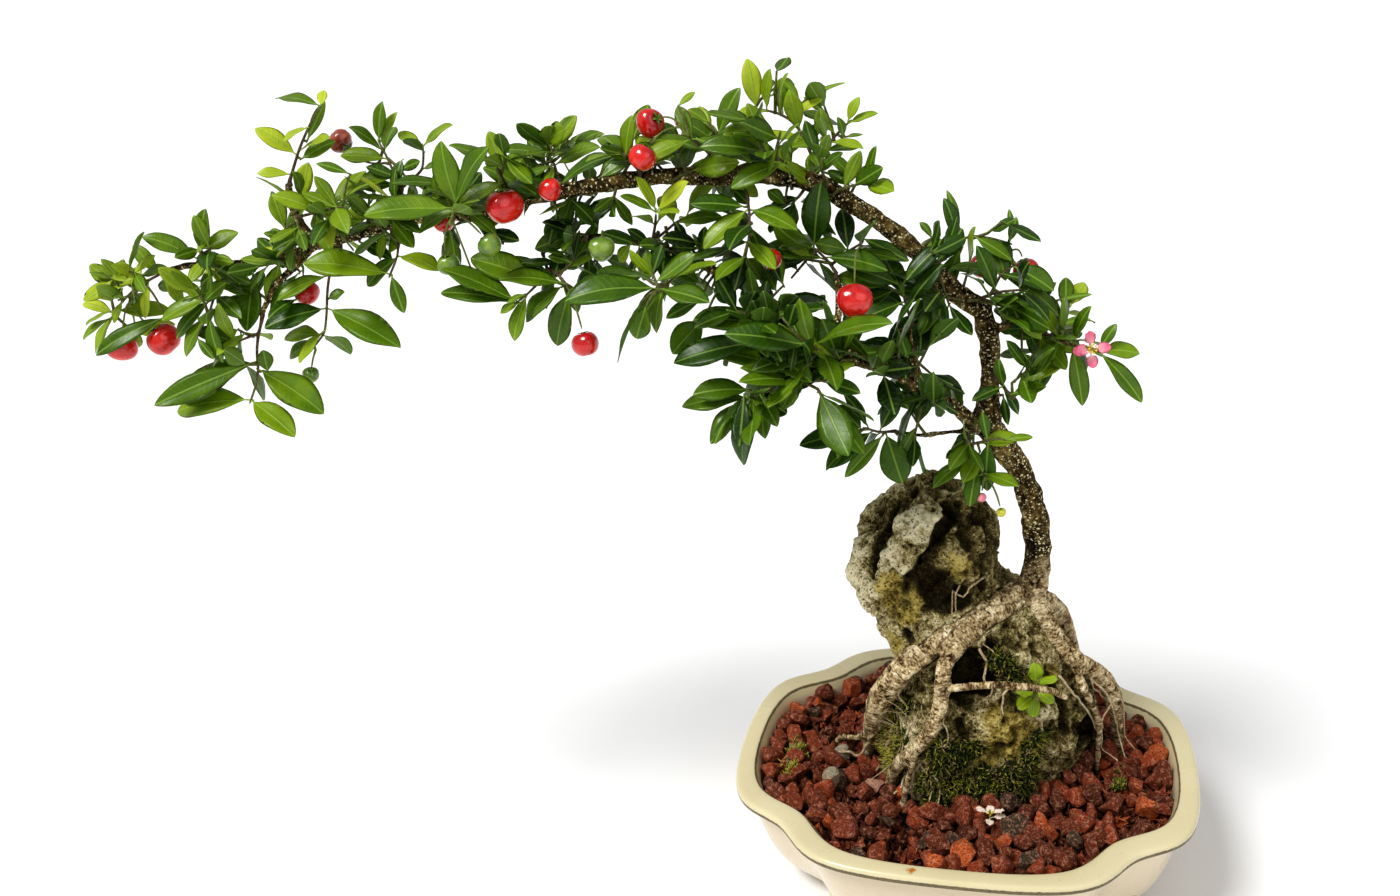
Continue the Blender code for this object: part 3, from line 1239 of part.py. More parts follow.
def spray_look(name):
    if name in YOUNG_SPRAYS:
        return LEAF_YOUNG
    return LEAF_DARK if name in DARK_SPRAYS else LEAF_GREEN


def bare(twig):
    """The twig without leaves, for finding out what room it takes."""
    return Twig(twig.route, twigs=[bare(side) for side in twig.twigs], fruit=twig.fruit, radius=twig.radius)


def place_bare(twig, crowd, carriers):
    """Adds a twig's wood and fruit to the crowd and says where on its route it starts."""
    start = start_clear(Path(twig.route), twig.radius, carriers)
    shell = Shell()
    plain = bare(twig)
    grow_twig(shell, None, plain, plan_twig(plain, crowd, random.Random(0), start), start)
    crowd.add(shell)
    return start, shell.tree()


def make_foliage(tree, rock):
    """Every spray, fruit, flower and the seedling, each in its own node."""
    tree_surface, rock_surface = surface_tree(tree), surface_tree(rock)
    crowd = Crowd()
    crowd.solids = [tree_surface, rock_surface]
    starts = {}
    carriers = [tree_surface]
    for name, twig in SPRAYS.items():
        starts[name], wood = place_bare(twig, crowd, [tree_surface])
        carriers.append(wood)
    for name, (_, twig) in FRUITS.items():
        starts[name], _ = place_bare(twig, crowd, carriers)
    grown = [tree_surface]
    make_flower(crowd, carriers)
    for name, twig in SPRAYS.items():
        shell = Shell()
        plan = plan_twig(twig, crowd, random.Random(name), starts[name])
        grow_twig(shell, None, twig, plan, starts[name])
        grown.append(shell.tree())
        solid(name, shell, spray_look(name))
    for name, (look, twig) in FRUITS.items():
        shell = Shell()
        start = max(starts[name], start_clear(Path(twig.route), twig.radius, grown))
        grow_twig(shell, None, twig, plan_twig(twig, crowd, random.Random(0), start), start)
        solid(name, shell, look)
    make_seedling(crowd, rock_surface)


def make_seedling(crowd, rock_surface):
    """A seedling that stands in a crack of the rock."""
    view = Vector(SEEDLING_VIEW)
    foot = rock_surface.ray_cast(view, (Vector(SEEDLING_AIM) - view).normalized())[0]
    seedling = Twig([tuple(foot + Vector(step)) for step in SEEDLING_STEM], SEEDLING_LEAVES,
                    shape=ROUND_SHAPE, ratio=SEEDLING_WIDTH_RATIO, radius=SEEDLING_RADIUS)
    start = start_clear(Path(seedling.route), seedling.radius, [rock_surface])
    shell = Shell()
    grow_twig(shell, None, seedling, plan_twig(seedling, crowd, random.Random(5), start), start)
    solid("seedling", shell, LEAF_YOUNG)


# Flowers

def petal_ring(path, distance, count, phase, length, lift):
    """Petals standing out round a stem, as leaves for its slots."""
    point, ahead, side, over = path.at(distance)
    things = {}
    for k in range(count):
        face = (2 * k + phase) % 4 if count == 2 else k
        angle = math.tau * (face + 1) / 4.0
        out = side * math.cos(angle) + over * math.sin(angle)
        foot = point + out * PETAL_FOOT
        tip = foot + (out + ahead * lift).normalized() * length
        things[face] = ("leaf", (foot, tip, ahead, length * PETAL_WIDTH_RATIO, PETAL_SHAPE, PETAL_ARCH), None)
    return things


def make_flower(crowd, carriers):
    """The open flower: three petals, then two more between them a step behind, round the stem's end."""
    twig = Twig(FLOWER_STEM, radius=FLOWER_STEM_RADIUS)
    path = Path(twig.route)
    slots = {}
    for (back, lift), count, phase in zip(FLOWER_RINGS, (3, 2), (0, 1)):
        distance = path.length - back
        slots[distance] = petal_ring(path, distance, count, phase, FLOWER_PETAL, lift)
    shell = Shell()
    grow_twig(shell, None, twig, slots, start_clear(path, twig.radius, carriers))
    crowd.add(shell)
    solid("flower_petals", shell, PETAL_PINK)
    point, ahead, _, _ = path.at(path.length)
    body = bmesh.new()
    bmesh.ops.create_icosphere(body, subdivisions=1, radius=HEART_RADIUS)
    heart = Shell()
    heart.loop([point + ahead * (TWIG_TIP + HEART_RADIUS + GAP) + v.co for v in body.verts])
    heart.faces = [tuple(v.index for v in f.verts) for f in body.faces]
    body.free()
    crowd.add(heart)
    solid("flower_heart", heart, STAMEN_YELLOW)


def make_fallen_flower(gravel):
    """A dropped flower that lies face up on the gravel."""
    surface = surface_tree(gravel)
    x, y = FALLEN_PLACE
    twig = Twig([(x, y, FALLEN_STEM * k / 3.0) for k in range(4)], radius=FLOWER_STEM_RADIUS)
    path = Path(twig.route)
    slots = {}
    for (distance, length, lift), count, phase in zip(FALLEN_RINGS, (3, 2), (0, 1)):
        slots[distance] = petal_ring(path, distance, count, phase, length, lift)
    shell = Shell()
    grow_twig(shell, None, twig, slots, 0.0)
    shell.points = [p + UP * POT_HEIGHT for p in shell.points]
    while not shell.tree().overlap(surface):
        shell.points = [p - UP * FALLEN_STEP for p in shell.points]
    shell.points = [p + UP * (GAP + FALLEN_STEP) for p in shell.points]
    return solid("flower_fallen", shell, PETAL_PALE)


def main():
    clear_scene()
    wood = wood_tubes()
    make_pot()
    make_drain_mesh()
    make_soil()
    gravel = make_gravel(wood)
    rock = make_rock(wood)
    tree = make_tree(wood)
    make_foliage(tree, rock)
    make_fallen_flower(gravel)
    stand = bpy.data.objects.new("stand", None)
    bpy.context.collection.objects.link(stand)
    stand.location.x = POT_FROM_ORIGIN * MM
    for thing in list(bpy.context.collection.objects):
        if thing is not stand:
            thing.parent = stand


main()
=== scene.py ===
"""The looks of the malpighia bonsai: fine leaves, fruit, flowers, bark, rock, moss, gravel and glaze.

Shapes are worked out in millimetres in the frame of the CAD model and scaled to metres as meshes are made.
"""
import itertools
import math

import bmesh
import bpy
import numpy as np
from mathutils import Matrix, Vector
from mathutils.bvhtree import BVHTree
from mathutils.kdtree import KDTree


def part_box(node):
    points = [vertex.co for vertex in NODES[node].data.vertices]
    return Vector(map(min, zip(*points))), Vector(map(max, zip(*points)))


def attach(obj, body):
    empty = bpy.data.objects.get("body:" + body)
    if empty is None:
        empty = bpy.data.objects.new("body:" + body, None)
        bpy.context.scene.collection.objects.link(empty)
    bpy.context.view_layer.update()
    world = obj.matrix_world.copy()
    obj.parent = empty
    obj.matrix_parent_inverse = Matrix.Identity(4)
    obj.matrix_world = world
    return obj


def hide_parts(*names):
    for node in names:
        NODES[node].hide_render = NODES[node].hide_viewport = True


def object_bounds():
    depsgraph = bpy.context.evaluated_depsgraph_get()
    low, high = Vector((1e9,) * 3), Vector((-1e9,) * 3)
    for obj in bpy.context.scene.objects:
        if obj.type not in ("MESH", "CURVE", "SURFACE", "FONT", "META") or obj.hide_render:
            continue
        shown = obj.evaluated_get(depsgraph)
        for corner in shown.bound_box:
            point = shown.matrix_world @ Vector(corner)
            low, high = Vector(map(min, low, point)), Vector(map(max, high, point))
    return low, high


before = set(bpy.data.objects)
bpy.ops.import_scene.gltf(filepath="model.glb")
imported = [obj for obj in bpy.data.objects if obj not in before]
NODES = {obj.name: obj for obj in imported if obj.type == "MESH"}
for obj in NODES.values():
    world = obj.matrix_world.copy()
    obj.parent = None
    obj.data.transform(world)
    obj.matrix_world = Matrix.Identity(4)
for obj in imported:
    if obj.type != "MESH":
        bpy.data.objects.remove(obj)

CAD_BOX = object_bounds()
SLOTS = {name: thing.data.materials[0].name for name, thing in NODES.items()}
MM = 0.001
UP = np.array([0.0, 0.0, 1.0])
POT = np.array([188.0, 0.0, 0.0])

# Where the object is seen from, and the picture's size in pixels
EYE = POT + (47.0, -703.0, 570.0)
VIEW = (Matrix.Rotation(math.radians(16.0), 3, "Z") @ Matrix.Rotation(math.radians(68.5), 3, "X")
        @ Matrix.Rotation(math.radians(-4.85), 3, "Z"))
LENS = 33.43
SENSOR = 36.0
PICTURE = (1400.0, 896.0)
FOCUS = LENS / SENSOR * PICTURE[0]

# The solids' box in millimetres, less a hair, which no point goes past
MARGIN = 0.05
LOW = np.array(CAD_BOX[0]) / MM + MARGIN
HIGH = np.array(CAD_BOX[1]) / MM - MARGIN

# What each column of a heap's values is called where leaves or fruit are among its parts
LEAF_LABELS = {"vein": slice(0, 3), "tone": 3}
STEM_VALUE = np.array([0.0, 0.0, 0.0, 1.0])

# Solid blades by how many sections they have from tip to foot: the width of the last but one against the widest
LEAF_SHARES = {3: 1.0, 2: 0.88}
PETAL_SHARES = {2: 1.0}
ROUND_SHARES = {2: 0.92}

# Where fine blades have their points, across from edge to edge and along from foot to tip
ACROSS = np.array([-1.0, -0.7, -0.36, 0.0, 0.36, 0.7, 1.0])
ACROSS_FEW = np.array([-1.0, -0.55, 0.0, 0.55, 1.0])
LEAF_STATIONS = np.array([-0.045, 0.0, 0.03, 0.065, 0.11, 0.18, 0.27, 0.37, 0.48, 0.59, 0.69, 0.78, 0.86,
                          0.93, 0.975, 1.0])
STATIONS_FEW = np.array([-0.045, 0.0, 0.05, 0.12, 0.25, 0.42, 0.6, 0.76, 0.89, 0.96, 1.0])
PETIOLE = 0.065


# Noise

def hashed(cell, seed):
    """A number from 0 to 1 for each whole-number cell."""
    key = cell[..., 0] * 73856093 ^ cell[..., 1] * 19349663 ^ cell[..., 2] * 83492791
    key = (key ^ (seed * 40503 + 977)) & 0xFFFFFFFF
    key = ((key ^ (key >> 15)) * 2246822519) & 0xFFFFFFFF
    key = ((key ^ (key >> 13)) * 3266489917) & 0xFFFFFFFF
    return ((key ^ (key >> 16)) & 0xFFFFFF) / float(0xFFFFFF)


def lumps(points, size, seed=0):
    """Smooth noise from -1 to 1, with lumps about one size long."""
    at = points / size
    cell = np.floor(at).astype(np.int64)
    part = at - cell
    part = part ** 2 * (3.0 - 2.0 * part)
    total = np.zeros(at.shape[:-1])
    for corner in np.ndindex(2, 2, 2):
        weight = np.prod(np.where(corner, part, 1.0 - part), axis=-1)
        total += weight * hashed(cell + corner, seed)
    return 2.0 * total - 1.0


def layered(points, size, layers, seed=0, fade=0.5):
    """Noise of several sizes, each half as large as the one before."""
    total = sum(fade ** k * lumps(points, size * 0.5 ** k, seed + 7 * k) for k in range(layers))
    return total / sum(fade ** k for k in range(layers))


def scattered(points, size, seed=0):
    """Distances, in sizes, to the nearest and the second nearest of scattered centres."""
    at = points / size
    base = np.floor(at).astype(np.int64)
    near = np.full(len(at), 9.0)
    second = np.full(len(at), 9.0)
    for shift in itertools.product((-1, 0, 1), repeat=3):
        cell = base + shift
        centre = cell + np.stack([hashed(cell, seed + k) for k in range(3)], axis=-1)
        gap = np.linalg.norm(at - centre, axis=-1)
        second = np.minimum(second, np.maximum(near, gap))
        near = np.minimum(near, gap)
    return near, second


def ease(value, low, high):
    """0 below low, 1 above high and a smooth step between."""
    part = np.clip((value - low) / (high - low), 0.0, 1.0)
    return part ** 2 * (3.0 - 2.0 * part)


def unit(vectors):
    return vectors / np.maximum(np.linalg.norm(vectors, axis=-1, keepdims=True), 1e-9)


# Meshes

def make_piece(name, points, faces, looks, attributes=None, kinds=None, smooth=True):
    """An object from points in millimetres. Kinds are material numbers by face, attributes values by point."""
    mesh = bpy.data.meshes.new(name)
    mesh.from_pydata(np.asarray(points) * MM, [], faces)
    for look in looks:
        mesh.materials.append(look)
    if kinds is not None:
        mesh.polygons.foreach_set("material_index", np.asarray(kinds, np.int32))
    for label, values in (attributes or {}).items():
        kind, part = ("FLOAT", "value") if values.ndim == 1 else ("FLOAT_VECTOR", "vector")
        layer = mesh.attributes.new(label, kind, "POINT")
        layer.data.foreach_set(part, values.astype(np.float32).ravel())
    mesh.polygons.foreach_set("use_smooth", np.full(len(mesh.polygons), smooth))
    mesh.update()
    made = bpy.data.objects.new(name, mesh)
    bpy.context.scene.collection.objects.link(made)
    return made


def settle(piece, slot, *nodes):
    """Hands a finished piece to the frame: its body and the nodes it stands for, which it hides. The slot is
    not used.
    """
    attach(piece, "root")
    if nodes:
        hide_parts(*nodes)


class Heap:
    """Parts of one mesh piece, gathered before it is made."""

    def __init__(self):
        self.points, self.faces, self.kinds, self.values = [], [], [], []
        self.count = 0

    def add(self, points, faces, kind, values, clipped=True):
        """Kind is a material number or one for each face, values a row or one for each point."""
        self.faces += [[c + self.count for c in face] for face in faces]
        self.kinds += list(kind) if hasattr(kind, "__len__") else [kind] * len(faces)
        self.points.append(np.clip(points, LOW, HIGH) if clipped else points)
        self.values.append(np.broadcast_to(values, (len(points), np.shape(values)[-1])))
        self.count += len(points)

    def settle(self, name, looks, slot, *nodes, labels=LEAF_LABELS, smooth=True):
        values = np.concatenate(self.values)
        attributes = {label: values[:, columns] for label, columns in labels.items()}
        settle(make_piece(name, np.concatenate(self.points), self.faces, looks, attributes, self.kinds, smooth),
               slot, *nodes)


def band_faces(rings, sides, closed=False):
    """Quads between rings of points, each ring closed. In a closed band the last ring meets the first."""
    return [(k * sides + i, k * sides + (i + 1) % sides, (k + 1) % rings * sides + (i + 1) % sides,
             (k + 1) % rings * sides + i) for k in range(rings if closed else rings - 1) for i in range(sides)]


def tube_faces(rings, sides):
    """Quads between rings of points, and a cap on each end."""
    last = (rings - 1) * sides
    return [*band_faces(rings, sides), tuple(reversed(range(sides))), tuple(range(last, last + sides))]


def read_points(mesh, what="co"):
    """A mesh's points in metres, or its normals, as rows."""
    values = np.empty(3 * len(mesh.vertices))
    mesh.vertices.foreach_get(what, values)
    return values.reshape(-1, 3)


def welded(node):
    """A node's corner points in millimetres, each once, and its triangles."""
    mesh = NODES[node].data
    points, index = np.unique((read_points(mesh) / MM).round(2), axis=0, return_inverse=True)
    mesh.calc_loop_triangles()
    corners = np.empty(len(mesh.loop_triangles) * 3, np.int32)
    mesh.loop_triangles.foreach_get("vertices", corners)
    triangles = index.ravel()[corners].reshape(-1, 3)
    return points, triangles[(triangles != np.roll(triangles, 1, axis=1)).all(axis=1)]


def neighbours(count, triangles):
    """For each point, the points that share a triangle's edge with it."""
    around = [set() for _ in range(count)]
    for a, b, c in triangles.tolist():
        around[a] |= {b, c}
        around[b] |= {a, c}
        around[c] |= {a, b}
    return around


def surface(*parts):
    """Parts of points in millimetres and faces, joined to one thing that finds the point nearest to another."""
    points, faces = [], []
    for some, corners in parts:
        corners = corners.tolist() if isinstance(corners, np.ndarray) else corners
        faces += [[len(points) + c for c in face] for face in corners]
        points += some.tolist()
    return BVHTree.FromPolygons(points, faces)


def shaped(piece, *modifiers):
    """The points in millimetres and faces of a piece after modifiers, each a type and its settings."""
    for kind, settings in modifiers:
        change = piece.modifiers.new("shape", kind)
        for key, value in settings.items():
            setattr(change, key, value)
    mesh = bpy.data.meshes.new_from_object(piece.evaluated_get(bpy.context.evaluated_depsgraph_get()))
    bpy.data.objects.remove(piece)
    points, normals = read_points(mesh) / MM, read_points(mesh, "normal")
    faces = [list(f.vertices) for f in mesh.polygons]
    bpy.data.meshes.remove(mesh)
    return points, faces, normals


# Materials

class Look:
    """A material with one Principled shader, made with short calls. Sizes are in millimetres."""

    def __init__(self, name, **constants):
        self.material = bpy.data.materials.new(name)
        self.material.use_nodes = True
        self.nodes = self.material.node_tree.nodes
        self.links = self.material.node_tree.links
        self.shader = self.nodes["Principled BSDF"]
        for socket, value in constants.items():
            self.shader.inputs[socket.replace("_", " ")].default_value = value
        self.normal = None
        scale = self.node("ShaderNodeVectorMath", operation="SCALE")
        self.feed(scale.inputs[0], self.node("ShaderNodeTexCoord").outputs["Object"])
        self.feed(scale.inputs["Scale"], 1.0 / MM)
        self.place = scale.outputs[0]

    def node(self, kind, **settings):
        made = self.nodes.new(kind)
        for key, value in settings.items():
            setattr(made, key, value)
        return made

    def feed(self, socket, value):
        if isinstance(value, bpy.types.NodeSocket):
            self.links.new(value, socket)
        elif isinstance(value, tuple):
            socket.default_value = (*value, 1.0)[:len(socket.default_value)]
        else:
            socket.default_value = value

    def attribute(self, name, part=None):
        """A value of the mesh: a number, or of a vector the part with that number or all."""
        made = self.node("ShaderNodeAttribute", attribute_name=name)
        if part is None:
            return made.outputs["Fac"]
        if part == "all":
            return made.outputs["Vector"]
        split = self.node("ShaderNodeSeparateXYZ")
        self.feed(split.inputs[0], made.outputs["Vector"])
        return split.outputs[part]

    def fed(self, kind, values, **settings):
        """A new node with values for its inputs, by number or name."""
        made = self.node(kind, **settings)
        for socket, value in values.items():
            self.feed(made.inputs[socket], value)
        return made

    def stretched(self, place, factors):
        return self.fed("ShaderNodeVectorMath", {0: place, 1: factors}, operation="MULTIPLY").outputs[0]

    def noise(self, size, detail=3.0, rough=0.55, place=None):
        return self.fed("ShaderNodeTexNoise", {"Vector": place or self.place, "Scale": 1.0 / size,
                                               "Detail": detail, "Roughness": rough}).outputs["Fac"]

    def cells(self, size, place=None):
        """The distance to the nearest of scattered centres, in sizes."""
        return self.fed("ShaderNodeTexVoronoi", {"Vector": place or self.place,
                                                 "Scale": 1.0 / size}).outputs["Distance"]

    def ramp(self, value, *stops):
        """A colour that goes through stops, each a position and a colour, as value grows."""
        made = self.fed("ShaderNodeValToRGB", {0: value})
        ends = made.color_ramp.elements
        while len(ends) < len(stops):
            ends.new(1.0)
        for end, (position, colour) in zip(ends, stops):
            end.position = position
            end.color = (*colour, 1.0)
        return made.outputs["Color"]

    def step(self, value, low, high, start=0.0, end=1.0):
        """A smooth step of value, from start at low to end at high."""
        return self.fed("ShaderNodeMapRange", dict(enumerate((value, low, high, start, end))),
                        interpolation_type="SMOOTHSTEP").outputs[0]

    def calc(self, operation, a, b=0.0):
        return self.fed("ShaderNodeMath", {0: a, 1: b}, operation=operation).outputs[0]

    def times(self, a, b):
        return self.calc("MULTIPLY", a, b)

    def plus(self, a, b):
        return self.calc("ADD", a, b)

    def specks(self, size, edge, patches, kept, place=None):
        """Round specks with soft edges, kept only in patches of noise."""
        round_spots = self.step(self.cells(size, place), *edge, 1.0, 0.0)
        return self.times(round_spots, self.step(self.noise(*patches), *kept))

    def mix(self, share, a, b):
        """Colour b over colour a."""
        return self.fed("ShaderNodeMix", {0: share, 6: a, 7: b}, data_type="RGBA").outputs[2]

    def raised(self, height, depth):
        """Adds relief of that depth in millimetres where height goes from 0 to 1."""
        values = {"Height": height, "Distance": depth * MM, "Strength": 1.0}
        if self.normal:
            values["Normal"] = self.normal
        self.normal = self.fed("ShaderNodeBump", values).outputs[0]

    def done(self, colour, rough):
        self.feed(self.shader.inputs["Base Color"], colour)
        self.feed(self.shader.inputs["Roughness"], rough)
        if self.normal:
            self.feed(self.shader.inputs["Normal"], self.normal)
        return self.material


def leaf_top_look():
    look = Look("leaf_top", Specular_IOR_Level=0.24, Coat_Weight=0.12, Coat_Roughness=0.2,
                Subsurface_Weight=0.06, Subsurface_Radius=(0.4, 1.0, 0.15), Subsurface_Scale=0.0015)
    patch = look.times(look.noise(14.0, 2.0), 0.3)
    tone = look.calc("SUBTRACT", look.plus(look.attribute("tone"), patch), 0.15)
    green = look.ramp(tone, (0.0, (0.007, 0.020, 0.001)), (0.25, (0.026, 0.073, 0.002)),
                      (0.5, (0.104, 0.188, 0.004)), (0.72, (0.255, 0.36, 0.009)), (1.0, (0.52, 0.59, 0.04)))
    off = look.calc("ABSOLUTE", look.attribute("vein", 0))
    midrib = look.step(off, 0.3, 0.75, 1.0, 0.0)
    run = look.calc("SUBTRACT", look.attribute("vein", 1), look.times(off, 0.7))
    wave = look.calc("SINE", look.times(run, 1.75))
    veins = look.step(wave, 0.72, 1.0)
    share = look.calc("MAXIMUM", look.times(midrib, 0.62), look.times(veins, 0.07))
    pale = look.mix(0.6, green, (0.36, 0.55, 0.09))
    colour = look.mix(share, green, pale)
    colour = look.mix(look.step(look.noise(2.2, 3.0), 0.62, 0.8, 0.0, 0.14), colour, (0.13, 0.16, 0.02))
    look.raised(midrib, -0.25)
    look.raised(veins, -0.06)
    look.raised(look.noise(1.6, 2.0), 0.05)
    return look.done(colour, look.step(look.noise(9.0, 3.0), 0.3, 0.75, 0.27, 0.42))


def leaf_back_look():
    look = Look("leaf_back", Specular_IOR_Level=0.3, Subsurface_Weight=0.08,
                Subsurface_Radius=(0.4, 1.0, 0.15), Subsurface_Scale=0.0015)
    tone = look.plus(look.attribute("tone"), look.times(look.noise(11.0, 2.0), 0.15))
    green = look.ramp(tone, (0.0, (0.020, 0.050, 0.008)), (0.5, (0.085, 0.165, 0.014)),
                      (1.0, (0.27, 0.38, 0.04)))
    off = look.calc("ABSOLUTE", look.attribute("vein", 0))
    midrib = look.step(off, 0.2, 0.65, 1.0, 0.0)
    colour = look.mix(look.times(midrib, 0.6), green, (0.32, 0.45, 0.14))
    look.raised(midrib, 0.35)
    look.raised(look.noise(1.1, 3.0), 0.08)
    return look.done(colour, look.step(look.noise(6.0, 2.0), 0.3, 0.7, 0.5, 0.68))


def twig_look():
    look = Look("twig", Specular_IOR_Level=0.2)
    grain = look.noise(1.5, 4.0, 0.65)
    brown = look.ramp(grain, (0.25, (0.030, 0.019, 0.011)), (0.5, (0.095, 0.060, 0.035)),
                      (0.75, (0.22, 0.165, 0.105)))
    green = look.ramp(grain, (0.3, (0.085, 0.11, 0.022)), (0.7, (0.21, 0.26, 0.06)))
    flecks = look.step(look.cells(1.6), 0.12, 0.3, 1.0, 0.0)
    brown = look.mix(look.times(flecks, 0.5), brown, (0.38, 0.31, 0.22))
    look.raised(look.noise(0.9, 4.0), 0.22)
    return look.done(look.mix(look.attribute("tone"), brown, green), look.step(grain, 0.3, 0.7, 0.75, 0.55))


# Leaves

def leaf_outline(station):
    """Share of the half width of a blade that tapers to its stalk and to a pointed tip."""
    part = np.clip((station - PETIOLE) / (1.0 - PETIOLE), 0.0, 1.0)
    return np.sin(math.pi * part ** 1.12) ** 0.7


def petal_outline(station):
    """Share of the half width of a petal: a narrow claw and a broad round blade."""
    part = np.clip((station - 0.3) / 0.7, 0.0, 1.0)
    return np.maximum(0.12, np.sqrt(np.clip(1.0 - (2.0 * part ** 0.8 - 1.0) ** 2, 0.0, 1.0)))


def round_outline(station):
    part = np.clip((station - 0.12) / 0.88, 0.0, 1.0)
    return np.sqrt(np.clip(1.0 - (2.0 * part - 1.0) ** 2, 0.0, 1.0))


class Leaf:
    """A blade's base, tip, face direction, greatest half width and arch."""

    def __init__(self, base, tip, normal, half, arch):
        self.base = base
        self.along = tip - base
        self.length = float(np.linalg.norm(self.along))
        self.ahead = self.along / self.length
        self.normal = unit(normal - self.ahead * (normal @ self.ahead))
        self.side = np.cross(self.ahead, self.normal)
        self.half = half
        self.arch = arch

    def samples(self):
        """Points on the midrib and along both margins, to keep other leaves away from."""
        middle = [self.base + self.along * s for s in (0.3, 0.5, 0.7, 0.85, 1.0)]
        sides = [self.base + self.along * s + self.side * k * self.half * w
                 for s, w in ((0.3, 0.7), (0.55, 0.85), (0.8, 0.5)) for k in (-1.0, 1.0)]
        return np.array(middle + sides)


def grow_blade(heap, leaf, draw, tone, outline=leaf_outline, stalk=0.5, thick=0.34, wave=0.07, frill=0.0,
               few=False):
    """A closed, thin, slightly folded and wavy blade on a short round stalk."""
    stations, columns = (STATIONS_FEW, ACROSS_FEW) if few else (LEAF_STATIONS, ACROSS)
    station = stations[:, None]
    across = columns[None, :]
    swing = draw.uniform(-0.35, 0.35)
    droop = draw.uniform(0.02, 0.1) * leaf.length
    half = np.maximum(leaf.half * outline(station), np.where(station < 0.97, stalk, 0.12))
    width = half * across
    blade = np.clip((station - PETIOLE) / 0.1, 0.0, 1.0)
    phase = draw.uniform(0.0, math.tau, 2)
    ripple = np.sin(math.tau * 1.7 * station + np.where(across > 0, phase[0], phase[1]))
    ripple = wave * ripple + frill * np.sin(math.tau * 4.3 * station + phase[0] * across)
    rise = 0.34 * np.abs(width) - 0.2 * width ** 2 / leaf.half + leaf.half * (ripple * across ** 2 - 0.1)
    rise = rise * blade
    bend = 4.0 * station * (1.0 - station) * leaf.arch - droop * np.clip(station - 0.45, 0.0, 1.0) ** 2
    body = np.clip(stalk * 0.8 * np.sqrt(np.clip(1.0 - across ** 2, 0.0, 1.0)), 0.0, 1.0) * (1.0 - blade)
    layer = body + 0.5 * thick * (1.0 - np.abs(across) ** 3) * blade
    turn = swing * (station - 0.3) * blade
    side = leaf.side * np.cos(turn)[..., None] + leaf.normal * np.sin(turn)[..., None]
    over = leaf.normal * np.cos(turn)[..., None] - leaf.side * np.sin(turn)[..., None]
    middle = leaf.base + leaf.along * station[..., None] + leaf.normal * bend[..., None]
    middle = middle + side * width[..., None] + over * rise[..., None]
    top = middle + over * layer[..., None]
    low = middle - over * layer[..., None]
    rings = np.concatenate([top, low[:, -2:0:-1]], axis=1)
    count = rings.shape[1]
    columns = np.concatenate([across[0], across[0, -2:0:-1]])
    values = np.stack(np.broadcast_arrays(half * columns, station * leaf.length, np.abs(columns), tone), -1)
    faces = [face[::-1] for face in tube_faces(len(stations), count)]
    kinds = [int(i >= across.shape[1] - 1) for i in range(count)] * (len(stations) - 1) + [1, 1]
    heap.add(rings.reshape(-1, 3), faces, kinds, values.reshape(-1, 4))


def find_blades(points, triangles, shares):
    """The blades of a node, found from their tips, and the points that belong to them."""
    around = neighbours(len(points), triangles)
    blades = []
    used = set()
    for tip in range(len(points)):
        if len(around[tip]) != 4:
            continue
        seen = {tip}
        ring = around[tip]
        sections = []
        while len(ring) == 4:
            corners = sorted(ring)
            gap, a, b = max((float(np.linalg.norm(points[p] - points[q])), p, q)
                            for p, q in itertools.combinations(corners, 2))
            c, d = (p for p in corners if p not in (a, b))
            other = float(np.linalg.norm(points[c] - points[d]))
            if gap < 1.75 * other or gap < 1.6:
                break
            sections.append((0.5 * (points[a] + points[b]), 0.5 * (points[c] + points[d]), 0.5 * gap))
            seen |= ring
            ring = set().union(*(around[p] for p in ring)) - seen
        if len(sections) not in shares or len(ring) != 4:
            continue
        base = points[sorted(ring)].mean(axis=0)
        edge, _, half = sections[-2]
        middle = np.mean([unit(s[0] - s[1]) for s in sections], axis=0)
        along = points[tip] - base
        straight = base + unit(along) * float((edge - base) @ unit(along))
        arch = float((edge - straight) @ unit(middle))
        blades.append(Leaf(base, points[tip], middle, half / shares[len(sections)], arch))
        used |= seen
    return sorted(blades, key=lambda leaf: tuple(leaf.base.round(1))), used


def smooth_rest(points, triangles, used):
    """The stems left when blades or fruit are taken off a CAD mesh: closed, in quads and rounded."""
    body = bmesh.new()
    keep = {}
    for a, b, c in triangles.tolist():
        if used & {a, b, c}:
            continue
        for p in (a, b, c):
            if p not in keep:
                keep[p] = body.verts.new(points[p] * MM)
        try:
            body.faces.new((keep[a], keep[b], keep[c]))
        except ValueError:
            continue
    bmesh.ops.holes_fill(body, edges=[e for e in body.edges if e.is_boundary], sides=0)
    bmesh.ops.join_triangles(body, faces=body.faces[:], angle_face_threshold=0.9, angle_shape_threshold=1.2)
    bmesh.ops.recalc_face_normals(body, faces=body.faces[:])
    stems = make_piece("stems", [], [], [])
    body.to_mesh(stems.data)
    body.free()
    return shaped(stems, ("SUBSURF", {"levels": 2, "render_levels": 2}))[:2]


def add_stems(heap, name, solid, used, kind, tone, carriers, wood=None):
    """A node's rounded stems, and the collar that joins them to what carries them. Near wood they are brown."""
    stems, faces = smooth_rest(*solid, used)
    values = np.tile(tone * STEM_VALUE, (len(stems), 1))
    if wood:
        far = np.array([wood.find_nearest(p)[3] for p in stems.tolist()])
        values[:, 3] = 0.8 * ease(far, 12.0, 70.0)
    heap.add(stems, faces, kind, values)
    if carriers:
        rest = solid[0][sorted(set(range(len(solid[0]))) - used)]
        grow_collar(heap, name, rest, kind, tone * STEM_VALUE, carriers)
    return stems


def named_draw(name, more=0):
    """Random draws that belong to the name of a node."""
    return np.random.default_rng(sum(map(ord, name)) + more)


